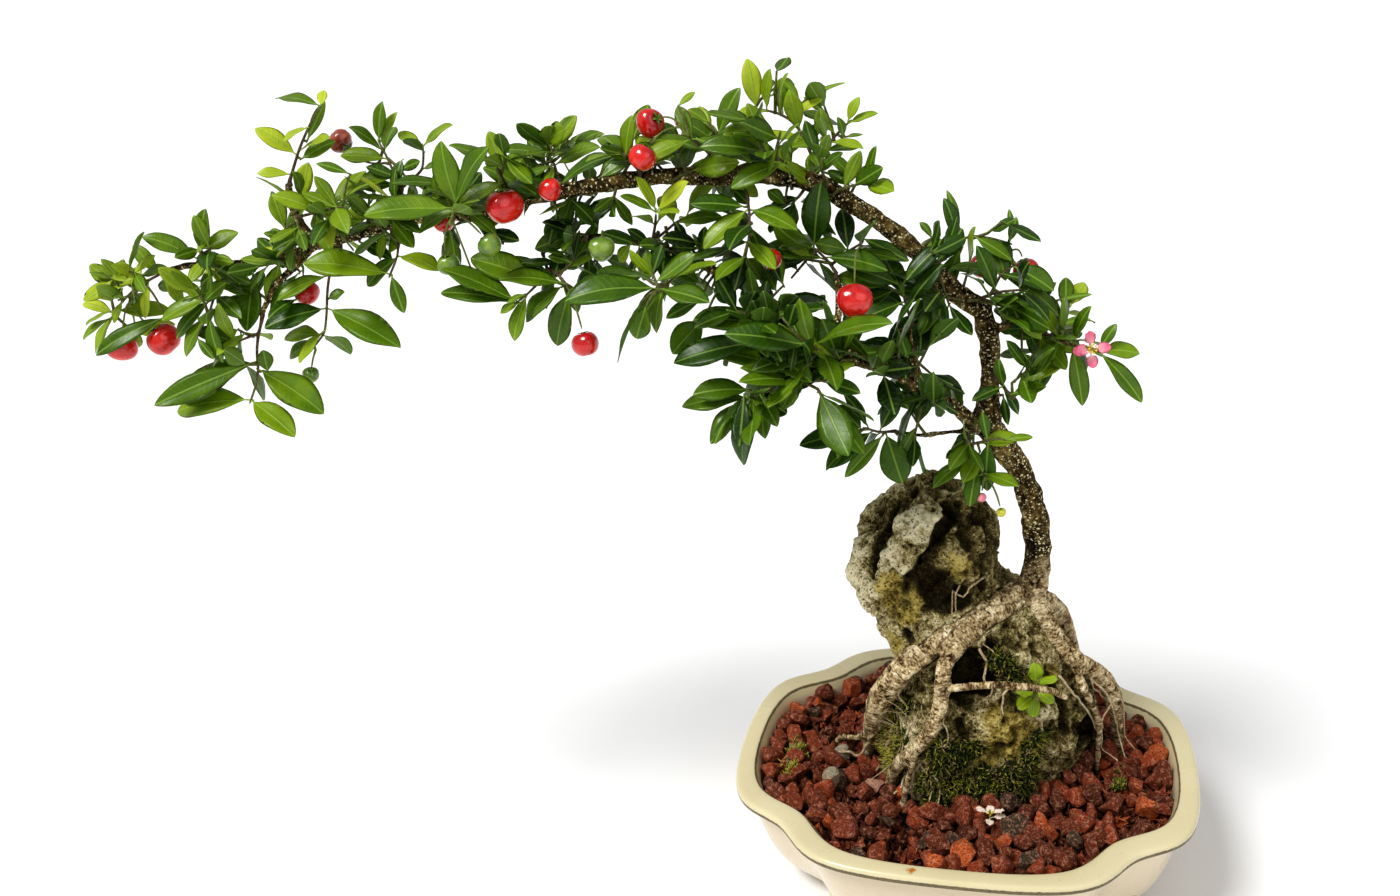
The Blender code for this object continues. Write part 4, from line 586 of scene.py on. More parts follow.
def leaf_tone(slot, leaf, draw):
    """How young and bright a leaf is, from 0 to 1."""
    start = {"leaf_dark": 0.24, "leaf_green": 0.45, "leaf_young": 0.68}[slot]
    start += 0.07 * (1.0 - ease(leaf.base[0] - POT[0], -330.0, -250.0))
    small = 0.12 * (1.0 - min(leaf.length / 30.0, 1.3))
    return float(np.clip(start + small + draw.normal(0.0, 0.13), 0.02, 0.98))


# Leaves that turn a little about their foot: where the tip was seen, and where it is seen then
TURNED = [(871, 501, 903, 484), (1050, 384, 1032, 396), (1069, 239, 1054, 290), (1050, 240, 1028, 262),
          (796, 213, 774, 224), (679, 375, 673, 362), (379, 334, 400, 346), (186, 202, 204, 209),
          (1090, 393, 1083, 406), (1137, 387, 1143, 402), (1149, 357, 1140, 353), (1111, 325, 1090, 306),
          (879, 433, 863, 456), (744, 469, 741, 465), (371, 99, 382, 101), (99, 281, 92, 296),
          (557, 353, 556, 346), (831, 468, 826, 468), (297, 271, 303, 262)]
TIP_MATCH = 2.5


def turned(leaf):
    """The leaf, turned about its foot if its tip is one of those that turn."""
    spots, depths = seen_at((leaf.base + leaf.along)[None])
    for across, down, to_across, to_down in TURNED:
        if math.hypot(spots[0, 0] - across, spots[0, 1] - down) < TIP_MATCH:
            tip = np.clip(sight(to_across, to_down, depths[0]), LOW, HIGH)
            return Leaf(leaf.base, tip, leaf.normal, leaf.half, leaf.arch)
    return leaf


def dress_spray(name, looks, wood, carriers):
    """A leafy spray: its leaves on rounded stems. Gives the leaves and the points of the stems."""
    solid = welded(name)
    blades, used = find_blades(*solid, LEAF_SHARES)
    blades = [turned(leaf) for leaf in blades]
    draw = named_draw(name)
    heap = Heap()
    for leaf in blades:
        grow_blade(heap, leaf, draw, leaf_tone(SLOTS[name], leaf, draw))
    stems = add_stems(heap, name, solid, used, 2, 0.0, carriers, wood)
    heap.settle("fine_" + name, looks, SLOTS[name], name)
    return blades, stems


# Wood: centre lines as (x, y, z, radius) points from the middle of the pot

TRUNK = [(40, 6, 174, 10.5), (40, 4, 193, 9.2), (43, 6, 208, 8.0), (44, 8, 221, 7.4), (42, 8, 241, 7.8),
         (39, 6, 255, 7.7), (32, 3, 274, 8.0), (22, 0, 289, 9.0), (15, -2, 301, 9.2), (17, 0, 324, 6.3),
         (16, 0, 350, 5.6), (12, -2, 368, 6.0), (-2, -5, 379, 6.2), (-11, -8, 391, 6.2), (-33, -12, 414, 6.2),
         (-59, -15, 433, 6.4), (-84, -18, 446, 5.9), (-114, -20, 448, 5.2), (-157, -24, 450, 4.8),
         (-178, -26, 449, 4.8), (-230, -30, 442, 4.7), (-261, -33, 435, 4.5), (-302, -36, 434, 4.6),
         (-340, -38, 425, 4.3), (-366, -40, 420, 3.6), (-374, -41, 415, 2.6)]
BRANCHES = [
    [(15, -2, 300, 6.5), (5, -8, 306, 5.8), (-2, -15, 316, 4.6), (-17, -28, 329, 4.2), (-33, -38, 345, 4.0),
     (-50, -46, 353, 3.6), (-62, -50, 352, 3.1), (-75, -54, 349, 2.7), (-92, -60, 344, 2.0)],
    [(-48, -45, 352, 3.0), (-62, -43, 362, 2.9), (-80, -40, 374, 2.8), (-95, -38, 382, 2.7),
     (-122, -35, 397, 2.7), (-148, -32, 409, 2.6), (-170, -31, 416, 2.4), (-194, -30, 419, 2.2),
     (-212, -31, 417, 2.0), (-226, -32, 413, 1.6)],
    [(-364, -40, 421, 3.2), (-380, -42, 415, 2.9), (-400, -44, 412, 2.6), (-431, -48, 412, 2.2),
     (-457, -50, 410, 1.5)],
    [(-362, -40, 421, 3.2), (-370, -40, 432, 3.0), (-375, -39, 445, 2.5), (-375, -38, 456, 1.7)]]
ROOTS = [
    [(37, 3, 194, 9.0), (22, -10, 190, 9.0), (1, -22, 181, 8.6), (-18, -30, 169, 8.4), (-33, -34, 156, 8.2),
     (-47, -29, 132, 7.0), (-54, -15, 105, 5.4), (-58, -3, 86, 4.4), (-60, 3, 65, 3.2)],
    [(34, -2, 189, 6.5), (15, -20, 185, 5.8), (1, -32, 176, 5.2), (-7, -41, 166, 5.2), (-9, -46, 144, 5.1),
     (-15, -49, 124, 4.9), (-28, -46, 105, 4.6), (-38, -37, 88, 4.0), (-43, -30, 65, 2.8)],
    [(43, 2, 188, 7.6), (55, -6, 168, 6.6), (66, -8, 156, 6.2), (79, 0, 143, 6.2), (88, 9, 126, 5.6),
     (93, 15, 104, 4.7), (95, 21, 86, 4.0), (95, 25, 65, 3.0)],
    [(34, 10, 188, 6.2), (18, 28, 180, 5.4), (-4, 43, 162, 5.0), (-18, 51, 132, 4.6), (-26, 55, 100, 4.0),
     (-31, 57, 65, 2.8)],
    [(46, 12, 186, 6.4), (56, 27, 169, 5.8), (63, 41, 145, 5.2), (70, 53, 115, 4.6), (77, 60, 88, 4.0),
     (79, 63, 65, 2.8)],
    [(-7, -45, 152, 2.4), (12, -47, 157, 2.2), (26, -46, 158, 2.1), (40, -42, 155, 2.1), (54, -36, 150, 1.9),
     (62, -30, 142, 1.5)]]


def smooth_line(points, step):
    """Points about one step apart on the smooth curve through the given ones."""
    held = np.asarray(points, float)
    held = np.vstack([2.0 * held[0] - held[1], held, 2.0 * held[-1] - held[-2]])
    curve = []
    for a, b, c, d in zip(held, held[1:], held[2:], held[3:]):
        count = max(1, round(float(np.linalg.norm((c - b)[:3])) / step))
        for t in np.arange(count) / count:
            curve.append(0.5 * (2.0 * b + (c - a) * t + (2.0 * a - 5.0 * b + 4.0 * c - d) * t ** 2
                                + (3.0 * b - a - 3.0 * c + d) * t ** 3))
    curve.append(held[-2])
    return np.array(curve)


def line_frames(points):
    """For each point of a line: the way ahead and two cross directions that don't twist."""
    ahead = unit(np.gradient(points, axis=0))
    side = np.empty_like(ahead)
    last = np.cross(UP, ahead[0]) if abs(ahead[0][2]) < 0.9 else np.cross((0.0, -1.0, 0.0), ahead[0])
    for k, way in enumerate(ahead):
        last = unit(last - way * (last @ way))
        side[k] = last
    return ahead, side, np.cross(ahead, side)


def grow_tube(heap, points, radii, sides, kind, value):
    """A closed round tube along a line, with the same values all over."""
    points = np.asarray(points, float)
    _, side, over = line_frames(points)
    angles = math.tau * np.arange(sides) / sides
    out = side[:, None] * np.cos(angles)[:, None] + over[:, None] * np.sin(angles)[:, None]
    rings = points[:, None] + out * np.asarray(radii, float)[:, None, None]
    heap.add(rings.reshape(-1, 3), tube_faces(len(points), sides), kind, value)


def remeshed(node, voxel, smoothing):
    """A node's surface in small even squares, with its corners rounded off."""
    points, triangles = welded(node)
    raw = make_piece("raw", points, triangles.tolist(), [])
    return shaped(raw, ("REMESH", {"mode": "VOXEL", "voxel_size": voxel * MM}),
                  ("SMOOTH", {"factor": 0.5, "iterations": smoothing}))


def wood_grain(points):
    """Each point's place along, across and over its centre line, and that line's radius there."""
    lines = [smooth_line(route, 4.0) for route in [TRUNK, *BRANCHES, *ROOTS]]
    frames = [line_frames(line[:, :3]) for line in lines]
    steps = [np.append(0.0, np.cumsum(np.linalg.norm(np.diff(line[:, :3], axis=0), axis=1))) for line in lines]
    centres = np.concatenate([line[:, :3] for line in lines]) + POT
    radius = np.concatenate([line[:, 3] for line in lines])
    ahead, side, over = (np.concatenate([f[k] for f in frames]) for k in range(3))
    run = np.concatenate([step + 1000.0 * k for k, step in enumerate(steps)])
    search = KDTree(len(centres))
    for k, centre in enumerate(centres):
        search.insert(centre, k)
    search.balance()
    near = np.array([search.find(p)[1] for p in points.tolist()])
    off = points - centres[near]
    grain = np.stack([run[near] + (off * ahead[near]).sum(1), (off * side[near]).sum(1),
                      (off * over[near]).sum(1)], axis=1)
    return grain, radius[near]


def bark_look():
    look = Look("bark", Specular_IOR_Level=0.12)
    grain = look.attribute("grain", "all")
    root = look.attribute("root")
    relief = look.attribute("relief")
    coarse = look.noise(2.4, 5.0, 0.65, look.stretched(grain, (0.8, 1.0, 1.0)))
    dark = look.ramp(look.plus(look.times(relief, 0.3), coarse),
                     (0.3, (0.010, 0.006, 0.002)), (0.5, (0.060, 0.037, 0.009)), (0.66, (0.16, 0.11, 0.033)),
                     (0.88, (0.36, 0.28, 0.115)))
    place = look.stretched(grain, (1.15, 0.85, 0.85))
    large = look.specks(2.3, (0.2, 0.36), (3.6, 2.0, 0.5, grain), (0.37, 0.49), place)
    small = look.specks(1.25, (0.2, 0.38), (5.5, 2.0, 0.5, place), (0.44, 0.56), place)
    fleck = look.calc("MAXIMUM", large, look.times(small, 0.75))
    dark = look.mix(look.times(fleck, 0.95), dark, (0.86, 0.77, 0.47))
    fine = look.noise(1.6, 5.0, 0.72, look.stretched(grain, (1.25, 0.75, 0.75)))
    pale = look.ramp(look.plus(look.times(relief, 0.16), fine),
                     (0.33, (0.014, 0.007, 0.003)), (0.42, (0.16, 0.098, 0.042)), (0.53, (0.50, 0.38, 0.20)),
                     (0.70, (0.95, 0.84, 0.60)))
    stain = look.step(look.noise(9.0, 4.0, 0.65), 0.48, 0.7)
    pale = look.mix(look.times(stain, 0.35), pale, (0.20, 0.12, 0.048))
    cracks = look.noise(2.6, 4.0, 0.65, look.stretched(grain, (1.7, 0.6, 0.6)))
    pale = look.mix(look.step(cracks, 0.36, 0.44, 0.92, 0.0), pale, (0.010, 0.005, 0.002))
    look.raised(coarse, 0.55)
    look.raised(fleck, 0.3)
    look.raised(look.noise(0.7, 3.0, 0.7, grain), 0.22)
    return look.done(look.mix(root, dark, pale), look.step(coarse, 0.3, 0.7, 0.92, 0.74))


# Between which heights roots turn into trunk, and stretches where the trunk is slimmer: by how much, and over
# which heights that sets in and ends
ROOT_TOP = (188.0, 226.0)
SLIMMER = [(1.3, (368.0, 388.0), (436.0, 446.0)), (0.8, (255.0, 270.0), (330.0, 345.0))]
TREE_GRID = 1.12
ROCK_GRID = 1.16


def make_tree(look):
    """The wood and the roots with bark relief. Gives the points of the thinner branches."""
    points, faces, normals = remeshed("tree", TREE_GRID, 3)
    grain, radius = wood_grain(points)
    points = points + normals * (0.45 * (1.0 - ease(radius, 1.8, 4.5)))[:, None]
    high = points[:, 2]
    root = 1.0 - ease(high + 9.0 * lumps(points, 9.0, 3), *ROOT_TOP)
    thick = ease(radius, 1.5, 7.0)
    rough = layered(grain * (0.55, 1.0, 1.0), 6.5, 3, 11)
    plates = layered(grain * (0.8, 1.0, 1.0), 3.0, 2, 23)
    knots = np.clip(lumps(points, 17.0, 5) - 0.35, 0.0, 1.0)
    trunk_rise = thick * (1.1 * rough + 0.85 * plates + 2.4 * knots)
    folds = layered(grain * (1.3, 0.8, 0.8), 5.0, 2, 31)
    bulges = layered(grain * (0.7, 1.2, 1.2), 15.0, 2, 37)
    root_rise = thick * (0.7 * folds + 1.7 * bulges) + 0.3 * plates
    rise = trunk_rise * (1.0 - root) + root_rise * root
    for less, start, end in SLIMMER:
        rise = rise - less * ease(high, *start) * (1.0 - ease(high, *end)) * thick
    relief = np.clip((rough + plates) * (1.0 - root) + (folds + 0.6 * plates) * root, -1.0, 1.0)
    points = np.clip(points + normals * rise[:, None], LOW, HIGH)
    piece = make_piece("tree_bark", points, faces, [look], {"grain": grain, "root": root, "relief": relief})
    settle(piece, "bark", "tree")
    return points[(points[:, 2] > 262.0) & (radius < 7.0)]


# Rock

# Spots from the middle of the pot, with a size: lines cut into the rock, holes, lumps with their height, and
# patches of ochre and moss
CLEFT = [(-6.6, -7.4, 254, 3.6), (-3, -10.6, 248, 4.2), (-8.8, -18, 241, 5.0), (-11.3, -22.8, 230, 5.4),
         (-15.3, -24.8, 221, 6.4), (-19.2, -26.4, 214, 7.0), (-14, -25, 206, 8.5), (-7.5, -25, 200, 8.5),
         (3, -21, 198, 6.0)]
GROOVES = [[(-39, -1, 252, 2.6), (-43, -12, 244, 3.0), (-45, -22, 232, 4.4), (-48, -22, 222, 3.8),
            (-50, -23, 212, 2.6)],
           [(-10, -22, 224, 4.0), (-19, -26, 218, 4.5), (-28, -28, 214, 3.4), (-31, -30, 206, 2.6)],
           [(14, -4, 242, 2.6), (17, -10, 222, 3.6), (14, -12, 202, 3.4)],
           [(-1, -4, 254, 2.4), (2, -14, 240, 3.0), (6, -19, 232, 2.6)],
           [(1, -42, 127, 2.6), (4, -43, 116, 3.0), (9, -43, 106, 2.6)],
           [(34, -36, 134, 2.6), (36, -35, 122, 3.0), (32, -38, 110, 2.4)],
           [(52, -20, 150, 3.0), (60, -16, 130, 3.4), (62, -20, 112, 3.0)]]
PITS = [(-45, -22, 232, 5.5), (-15, -27, 211, 11.0), (12, -28, 158, 14.0), (18, -26, 166, 9.0),
        (2, -27, 148, 11.0), (-30, -31, 179, 5.0), (15, -22, 149, 12.0), (74, -4, 108, 9.0),
        (-30, 30, 215, 9.0), (40, 42, 140, 11.0), (10, 36, 225, 8.0), (70, 0, 120, 7.0),
        (78, -8, 100, 10.0), (68, -12, 112, 7.0)]
KNOBS = [(-19, -16, 246, 13, 4.5), (-34, -16, 246, 8, 3.0), (-40, -25, 231, 8, 3.5), (-32, -28, 222, 8, 2.5),
         (-47, -27, 204, 9, 3.5), (-58, -15, 226, 11, 3.5), (-60, -12, 206, 13, 6.0), (-50, -14, 190, 11, 5.0),
         (1, -20, 224, 9, 3.0), (20, -34, 122, 15, 3.5), (38, -26, 163, 9, 3.0), (48, -24, 128, 12, 3.0),
         (8, 2, 258, 12, 3.0), (-30, 14, 250, 14, 4.0), (-20, 34, 200, 14, 4.0), (45, 40, 122, 12, 4.0)]
OCHRE = [(0.4, -21, 220, 9), (-33, -31, 198, 14), (-39, -29, 208, 9), (-39, -22, 166, 10), (30, -37, 115, 17),
         (25, -37, 128, 11), (16, -40, 102, 9), (48, -21, 147, 13), (-20, 38, 190, 14), (45, 44, 110, 16)]
MOSS = [(-32, -29, 129, 7), (-35, -27, 106, 11), (-39, -26, 83, 12), (-15, -46, 113, 9), (-4, -46, 104, 12),
        (-10, -47, 82, 15), (10, -42, 110, 6), (13, -42, 84, 13), (31, -38, 94, 8), (42, -31, 101, 8),
        (36, -35, 82, 12), (47, -27, 113, 6), (24, -32, 163, 8), (30, -31, 157, 8), (-39, -20, 119, 6),
        (-47, -12, 95, 10), (0, 50, 88, 16), (60, 42, 92, 13), (-28, 40, 98, 12), (84, 14, 84, 9)]
GRAVEL_MOSS = [(-105, -5, 7), (-106, -28, 5), (94, -16, 4)]
STEMS_EACH = 230
CLEFT_DEPTH = 13.0
GROOVE_DEPTH = 5.5
SHOULDER = (-57, -8, 247)


def patches(points, spots, seed):
    """How far each point is inside ragged round patches, from 0 outside to 1 in the middle."""
    ragged = 0.45 * layered(points, 9.0, 3, seed)
    best = np.zeros(len(points))
    for x, y, z, size in spots:
        gap = np.linalg.norm(points - POT - (x, y, z), axis=1) / size
        best = np.maximum(best, 1.0 - ease(gap + ragged, 0.75, 1.15))
    return best


def make_rock(look, wood):
    """The pitted rock, which stays as it is where roots lie on it. Gives its points, faces and moss cover."""
    points, faces, normals = remeshed("rock", ROCK_GRID, 6)
    away = np.array([wood.find_nearest(p)[3] for p in points.tolist()])
    free = ease(away, 1.0, 5.0)
    warp = np.stack([lumps(points, 15.0, 41 + k) for k in range(3)], axis=1) * 5.0
    warp += np.stack([lumps(points, 6.0, 45 + k) for k in range(3)], axis=1) * 1.6
    ridges = 1.0 - 2.2 * np.abs(layered(points + warp, 22.0, 3, 51))
    near, _ = scattered(points + 0.4 * warp, 9.5, 61)
    small, _ = scattered(points + 0.3 * warp, 4.8, 71)
    tiny, _ = scattered(points, 2.7, 75)
    depth = -2.6 + 3.0 * ridges + 2.2 * layered(points, 38.0, 2, 81)
    depth -= 3.6 * (1.0 - ease(near, 0.08, 0.48)) + 2.2 * (1.0 - ease(small, 0.12, 0.5))
    depth -= 1.1 * (1.0 - ease(tiny, 0.1, 0.5))
    depth += 1.3 * layered(points, 4.5, 3, 91)
    for x, y, z, size, height in KNOBS:
        knob = np.linalg.norm(points + 0.5 * warp - POT - (x, y, z), axis=1) / size
        depth += height * (1.0 - ease(knob, 0.25, 1.1))
    carved = np.zeros(len(points))
    for line, deep in [(CLEFT, CLEFT_DEPTH)] + [(line, GROOVE_DEPTH) for line in GROOVES]:
        gap = np.min([np.linalg.norm(points + 0.5 * warp - POT - c[:3], axis=1) / c[3]
                      for c in smooth_line(line, 2.0)], axis=0)
        carved = np.maximum(carved, deep * (1.0 - ease(gap, 0.3, 1.3)))
    for x, y, z, size in PITS:
        hole = np.linalg.norm(points + 0.6 * warp - POT - (x, y, z), axis=1) / size
        carved = np.maximum(carved, 0.95 * size * (1.0 - ease(hole, 0.3, 1.2)))
    moss = patches(points, MOSS, 101)
    depth = depth * (1.0 - 0.55 * moss) + 2.4 * moss
    rise = np.where(depth < 0.0, depth * free, depth * (0.25 + 0.75 * free)) - carved * free
    shoulder = np.linalg.norm(points - POT - SHOULDER, axis=1) / 17.0
    rise = rise - 8.0 * (1.0 - ease(shoulder, 0.3, 1.1))
    rise = np.where(away < 1.2, 0.35, rise)
    # Painted shading: the rock is coloured darker in hollows, clefts and pits and lighter on raised lumps. It
    # is darker again on the right-hand upper block, the right end and the lower front, where shade falls
    x, _, z = (points - POT).T
    shaded = 0.2 * ease(x, -8.0, 6.0) * ease(z, 186.0, 200.0) + 0.24 * ease(x, 54.0, 66.0)
    shaded += 0.12 * ease(x, -34.0, -20.0) * (1.0 - ease(z, 168.0, 186.0)) * (1.0 - ease(x, 54.0, 66.0))
    painted_shading = np.clip(0.65 + depth / 12.0 - carved / 6.0 - shaded, 0.0, 1.0)
    ochre = patches(points, OCHRE, 111)
    points = np.clip(points + normals * rise[:, None], LOW, HIGH)
    piece = make_piece("rock_face", points, faces, [look], {"painted_shading": painted_shading, "ochre": ochre, "moss": moss})
    settle(piece, "rock", "rock")
    return points, faces, moss


def rock_look():
    look = Look("rock", Specular_IOR_Level=0.2)
    grain = look.noise(3.4, 6.0, 0.72)
    salt = look.noise(1.5, 5.0, 0.85)
    # Painted shading from the rock's hollows and shaded faces sets how dark or light its colour is
    mixed = look.plus(look.times(look.attribute("painted_shading"), 0.48),
                      look.plus(look.times(grain, 0.6), look.times(salt, 0.8)))
    grey = look.ramp(mixed, (0.62, (0.008, 0.005, 0.002)), (0.78, (0.062, 0.044, 0.011)),
                     (0.88, (0.21, 0.16, 0.052)), (0.97, (0.54, 0.45, 0.215)))
    grey = look.mix(look.step(mixed, 0.96, 1.08), grey, (0.95, 0.86, 0.58))
    yellow = look.ramp(mixed, (0.60, (0.018, 0.012, 0.002)), (0.78, (0.14, 0.098, 0.018)),
                       (0.92, (0.44, 0.33, 0.075)), (1.0, (0.66, 0.53, 0.18)))
    colour = look.mix(look.attribute("ochre"), grey, yellow)
    tint = look.step(look.noise(16.0, 4.0, 0.6), 0.5, 0.7, 0.0, 0.6)
    colour = look.mix(tint, colour, look.mix(0.5, colour, (0.19, 0.18, 0.055)))
    pores = look.step(look.cells(1.9), 0.16, 0.36, 1.0, 0.0)
    keep = look.step(look.noise(5.0, 2.0), 0.42, 0.56)
    colour = look.mix(look.times(look.times(pores, keep), 0.85), colour,
                      (0.016, 0.012, 0.006))
    green = look.ramp(look.noise(1.4, 4.0), (0.3, (0.007, 0.010, 0.002)), (0.6, (0.036, 0.046, 0.007)),
                      (0.8, (0.13, 0.13, 0.02)))
    colour = look.mix(look.step(look.attribute("moss"), 0.15, 0.6), colour, green)
    look.raised(grain, 1.8)
    look.raised(salt, 0.9)
    look.raised(pores, -0.9)
    return look.done(colour, look.step(grain, 0.3, 0.7, 0.96, 0.82))


def moss_look():
    look = Look("moss", Specular_IOR_Level=0.2)
    tone = look.plus(look.attribute("tone"), look.times(look.noise(0.9, 2.0), 0.3))
    colour = look.ramp(tone, (0.1, (0.006, 0.008, 0.001)), (0.42, (0.026, 0.040, 0.003)),
                       (0.7, (0.10, 0.125, 0.010)), (1.0, (0.42, 0.38, 0.06)))
    brown = look.ramp(tone, (0.1, (0.008, 0.006, 0.003)), (0.5, (0.060, 0.045, 0.016)),
                      (1.0, (0.38, 0.30, 0.13)))
    colour = look.mix(look.step(look.noise(7.0, 3.0), 0.46, 0.62, 0.0, 0.85), colour, brown)
    look.raised(look.noise(0.5, 2.0), 0.1)
    return look.done(colour, look.step(tone, 0.1, 0.9, 0.9, 0.7))


def make_moss(look, points, faces, moss, stones):
    """Upright tufts of short leafy stems on the mossy parts of the rock, and a few on the gravel."""
    draw = np.random.default_rng(5)
    quads = np.array([f[:4] for f in faces if len(f) >= 4])
    share = moss[quads].mean(axis=1)
    centre = points[quads].mean(axis=1)
    corner = points[quads]
    face_normal = unit(np.cross(corner[:, 2] - corner[:, 0], corner[:, 3] - corner[:, 1]))
    clump = layered(centre, 5.0, 2, 7)
    chosen = np.flatnonzero((share > 0.3) & (draw.random(len(quads)) < 0.85 * share + 0.4 * clump))
    base, ground, clump = centre[chosen], face_normal[chosen], clump[chosen]
    spots = []
    for x, y, size in GRAVEL_MOSS:
        for _ in range(STEMS_EACH):
            place = POT + (x, y, 110.0) + np.append(draw.normal(0.0, 0.5 * size, 2), 0.0)
            spot = stones.ray_cast(Vector(place), Vector((0.0, 0.0, -1.0)))[0]
            if spot is not None:
                spots.append(spot)
    base = np.vstack([base, np.array(spots)])
    ground = np.vstack([ground, np.tile(UP, (len(spots), 1))])
    clump = np.append(clump, np.zeros(len(spots)))
    count = len(base)
    way = unit(0.8 * ground + 0.35 * UP + 0.55 * draw.normal(size=(count, 3)))
    lean = unit(way + 0.8 * draw.normal(size=(count, 3)) - 0.25 * UP)
    length = draw.uniform(2.8, 6.8, count) * (1.0 + 0.6 * np.clip(clump, 0.0, 1.0))
    length[-len(spots):] *= 0.8
    base = base - 0.4 * way
    yellow = 0.30 * (1.0 - ease(base[:, 0] - POT[0], -44.0, -28.0)) + 0.2 * lumps(base, 9.0, 19)
    tone = np.clip(0.33 + yellow + draw.normal(0.0, 0.2, count), 0.0, 1.0)
    side = unit(np.cross(way, (0.3, 0.5, 0.81)))
    over = np.cross(way, side)
    rings = []
    for station, radius in ((0.0, 0.32), (0.45, 0.52)):
        middle = base + (way * (1.0 - 0.5 * station) + lean * 0.5 * station) * (length * station)[:, None]
        for k in range(3):
            angle = math.tau * k / 3.0
            rings.append(middle + (side * math.cos(angle) + over * math.sin(angle)) * radius)
    rings.append(base + unit(way + 0.9 * lean) * length[:, None])
    stack = np.stack(rings, axis=1).reshape(-1, 3)
    pattern = [(0, 1, 4, 3), (1, 2, 5, 4), (2, 0, 3, 5), (3, 4, 6), (4, 5, 6), (5, 3, 6), (0, 2, 1)]
    faces = [tuple(7 * k + c for c in face) for k in range(count) for face in pattern]
    values = np.repeat(tone, 7) + np.tile((-0.35, -0.35, -0.35, 0.0, 0.0, 0.0, 0.5), count)
    settle(make_piece("moss", np.clip(stack, LOW, HIGH), faces, [look], {"tone": values}), "leaf_dark")


# Fine roots: radius and the points they pass, from the middle of the pot, laid on wood, rock or gravel

ROOTLETS = [
    (0.8, [(14, -10, 206), (8, -17, 206), (5, -18, 202), (-4, -23, 199), (-6, -25, 198)]),
    (0.5, [(1, -20, 201), (-4, -26, 194), (-6, -28, 188)]),
    (0.8, [(10, -34, 170), (13, -36, 164), (16, -37, 154), (15, -36, 142)]),
    (0.4, [(19, -33, 174), (21, -33, 171), (21, -35, 164), (19, -35, 158)]),
    (0.6, [(-8, -43, 133), (-6, -44, 124), (-5, -46, 117), (-8, -48, 113), (-10, -46, 118)]),
    (1.0, [(-27, -37, 122), (-30, -34, 112), (-34, -30, 102), (-38, -27, 87), (-42, -24, 76)]),
    (1.2, [(-39, -24, 108), (-43, -19, 92), (-45, -18, 82), (-50, -19, 74)]),
    (1.1, [(-27, -43, 96), (-31, -38, 84), (-35, -39, 76), (-38, -43, 73)]),
    (0.9, [(-22, -44, 100), (-27, -42, 86), (-27, -45, 76)]),
    (0.7, [(-12, -47, 92), (-10, -48, 82), (-12, -54, 75)]),
    (0.6, [(-15, -46, 96), (-15, -50, 84), (-16, -54, 76)]),
    (1.4, [(-48, -22, 118), (-53, -14, 100), (-58, -8, 84), (-66, -8, 76), (-78, -4, 74)]),
    (0.9, [(41, -28, 136), (43, -29, 129), (48, -27, 120), (50, -28, 112)]),
    (0.8, [(30, -36, 150), (27, -37, 140), (28, -38, 132)]),
    (0.8, [(60, -14, 146), (70, -8, 128), (78, -4, 112), (82, 2, 96), (84, 4, 78)]),
    (0.7, [(74, -6, 140), (84, 0, 126), (90, 4, 110), (94, 8, 94), (98, 10, 78)]),
    (0.6, [(86, 2, 132), (95, 8, 120), (99, 12, 104), (101, 16, 88), (104, 18, 76)]),
    (0.6, [(90, 4, 122), (88, 0, 110), (92, 2, 100), (90, 4, 86), (94, 2, 76)]),
    (0.5, [(83, 2, 138), (93, 6, 130), (97, 10, 118), (93, 6, 106), (97, 10, 92)]),
    (0.7, [(-25, 60, 120), (-30, 62, 100), (-34, 66, 84), (-40, 70, 76)]),
    (0.7, [(80, 58, 100), (88, 62, 86), (96, 64, 76)]),
    (0.6, [(-46, -30, 128), (-50, -22, 116), (-49, -20, 104)]),
    (0.5, [(-34, -36, 140), (-32, -36, 128), (-36, -33, 118)])]


def make_rootlets(look, ground):
    """Thin roots that lie on whatever is nearest, and straw-like dead ones scattered over the moss."""
    draw = np.random.default_rng(31)
    heap = Heap()
    lines = list(ROOTLETS)
    for _ in range(46):
        x, y, z = draw.uniform((-46, -48, 84), (-14, -20, 132))
        bend = draw.normal(0.0, 1.0, (3, 3)) * (5.0, 3.0, 6.0)
        lines.append((draw.uniform(0.22, 0.36), [(x, y, z), *(np.array([x, y, z]) + np.cumsum(bend, axis=0))]))
    for radius, route in lines:
        line = smooth_line(route, 2.2)[:, :3] + POT
        laid = []
        for k, point in enumerate(line):
            wander = 0.9 * radius * draw.normal(size=3)
            spot, normal, _, _ = ground.find_nearest(Vector(point + wander))
            laid.append(np.array(spot) + np.array(normal) * (0.35 if k in (0, len(line) - 1) else 0.9) * radius)
        laid = np.array(laid)
        laid[1:-1] = 0.25 * laid[:-2] + 0.5 * laid[1:-1] + 0.25 * laid[2:]
        size = radius * (1.1 - 0.5 * np.linspace(0.0, 1.0, len(laid))) * draw.uniform(0.85, 1.15, len(laid))
        grow_tube(heap, laid, size, 6, 0, [draw.uniform(0.2, 1.0)])
    heap.settle("rootlets", [look], "bark", labels={"tone": 0})


def rootlet_look():
    look = Look("rootlet", Specular_IOR_Level=0.2)
    grain = look.plus(look.noise(1.4, 4.0, 0.7), look.times(look.attribute("tone"), 0.2))
    colour = look.ramp(grain, (0.35, (0.07, 0.042, 0.018)), (0.55, (0.38, 0.28, 0.15)),
                       (0.8, (0.76, 0.66, 0.45)))
    look.raised(look.noise(0.8, 3.0), 0.2)
    return look.done(colour, look.step(grain, 0.3, 0.8, 0.9, 0.7))


# Pot

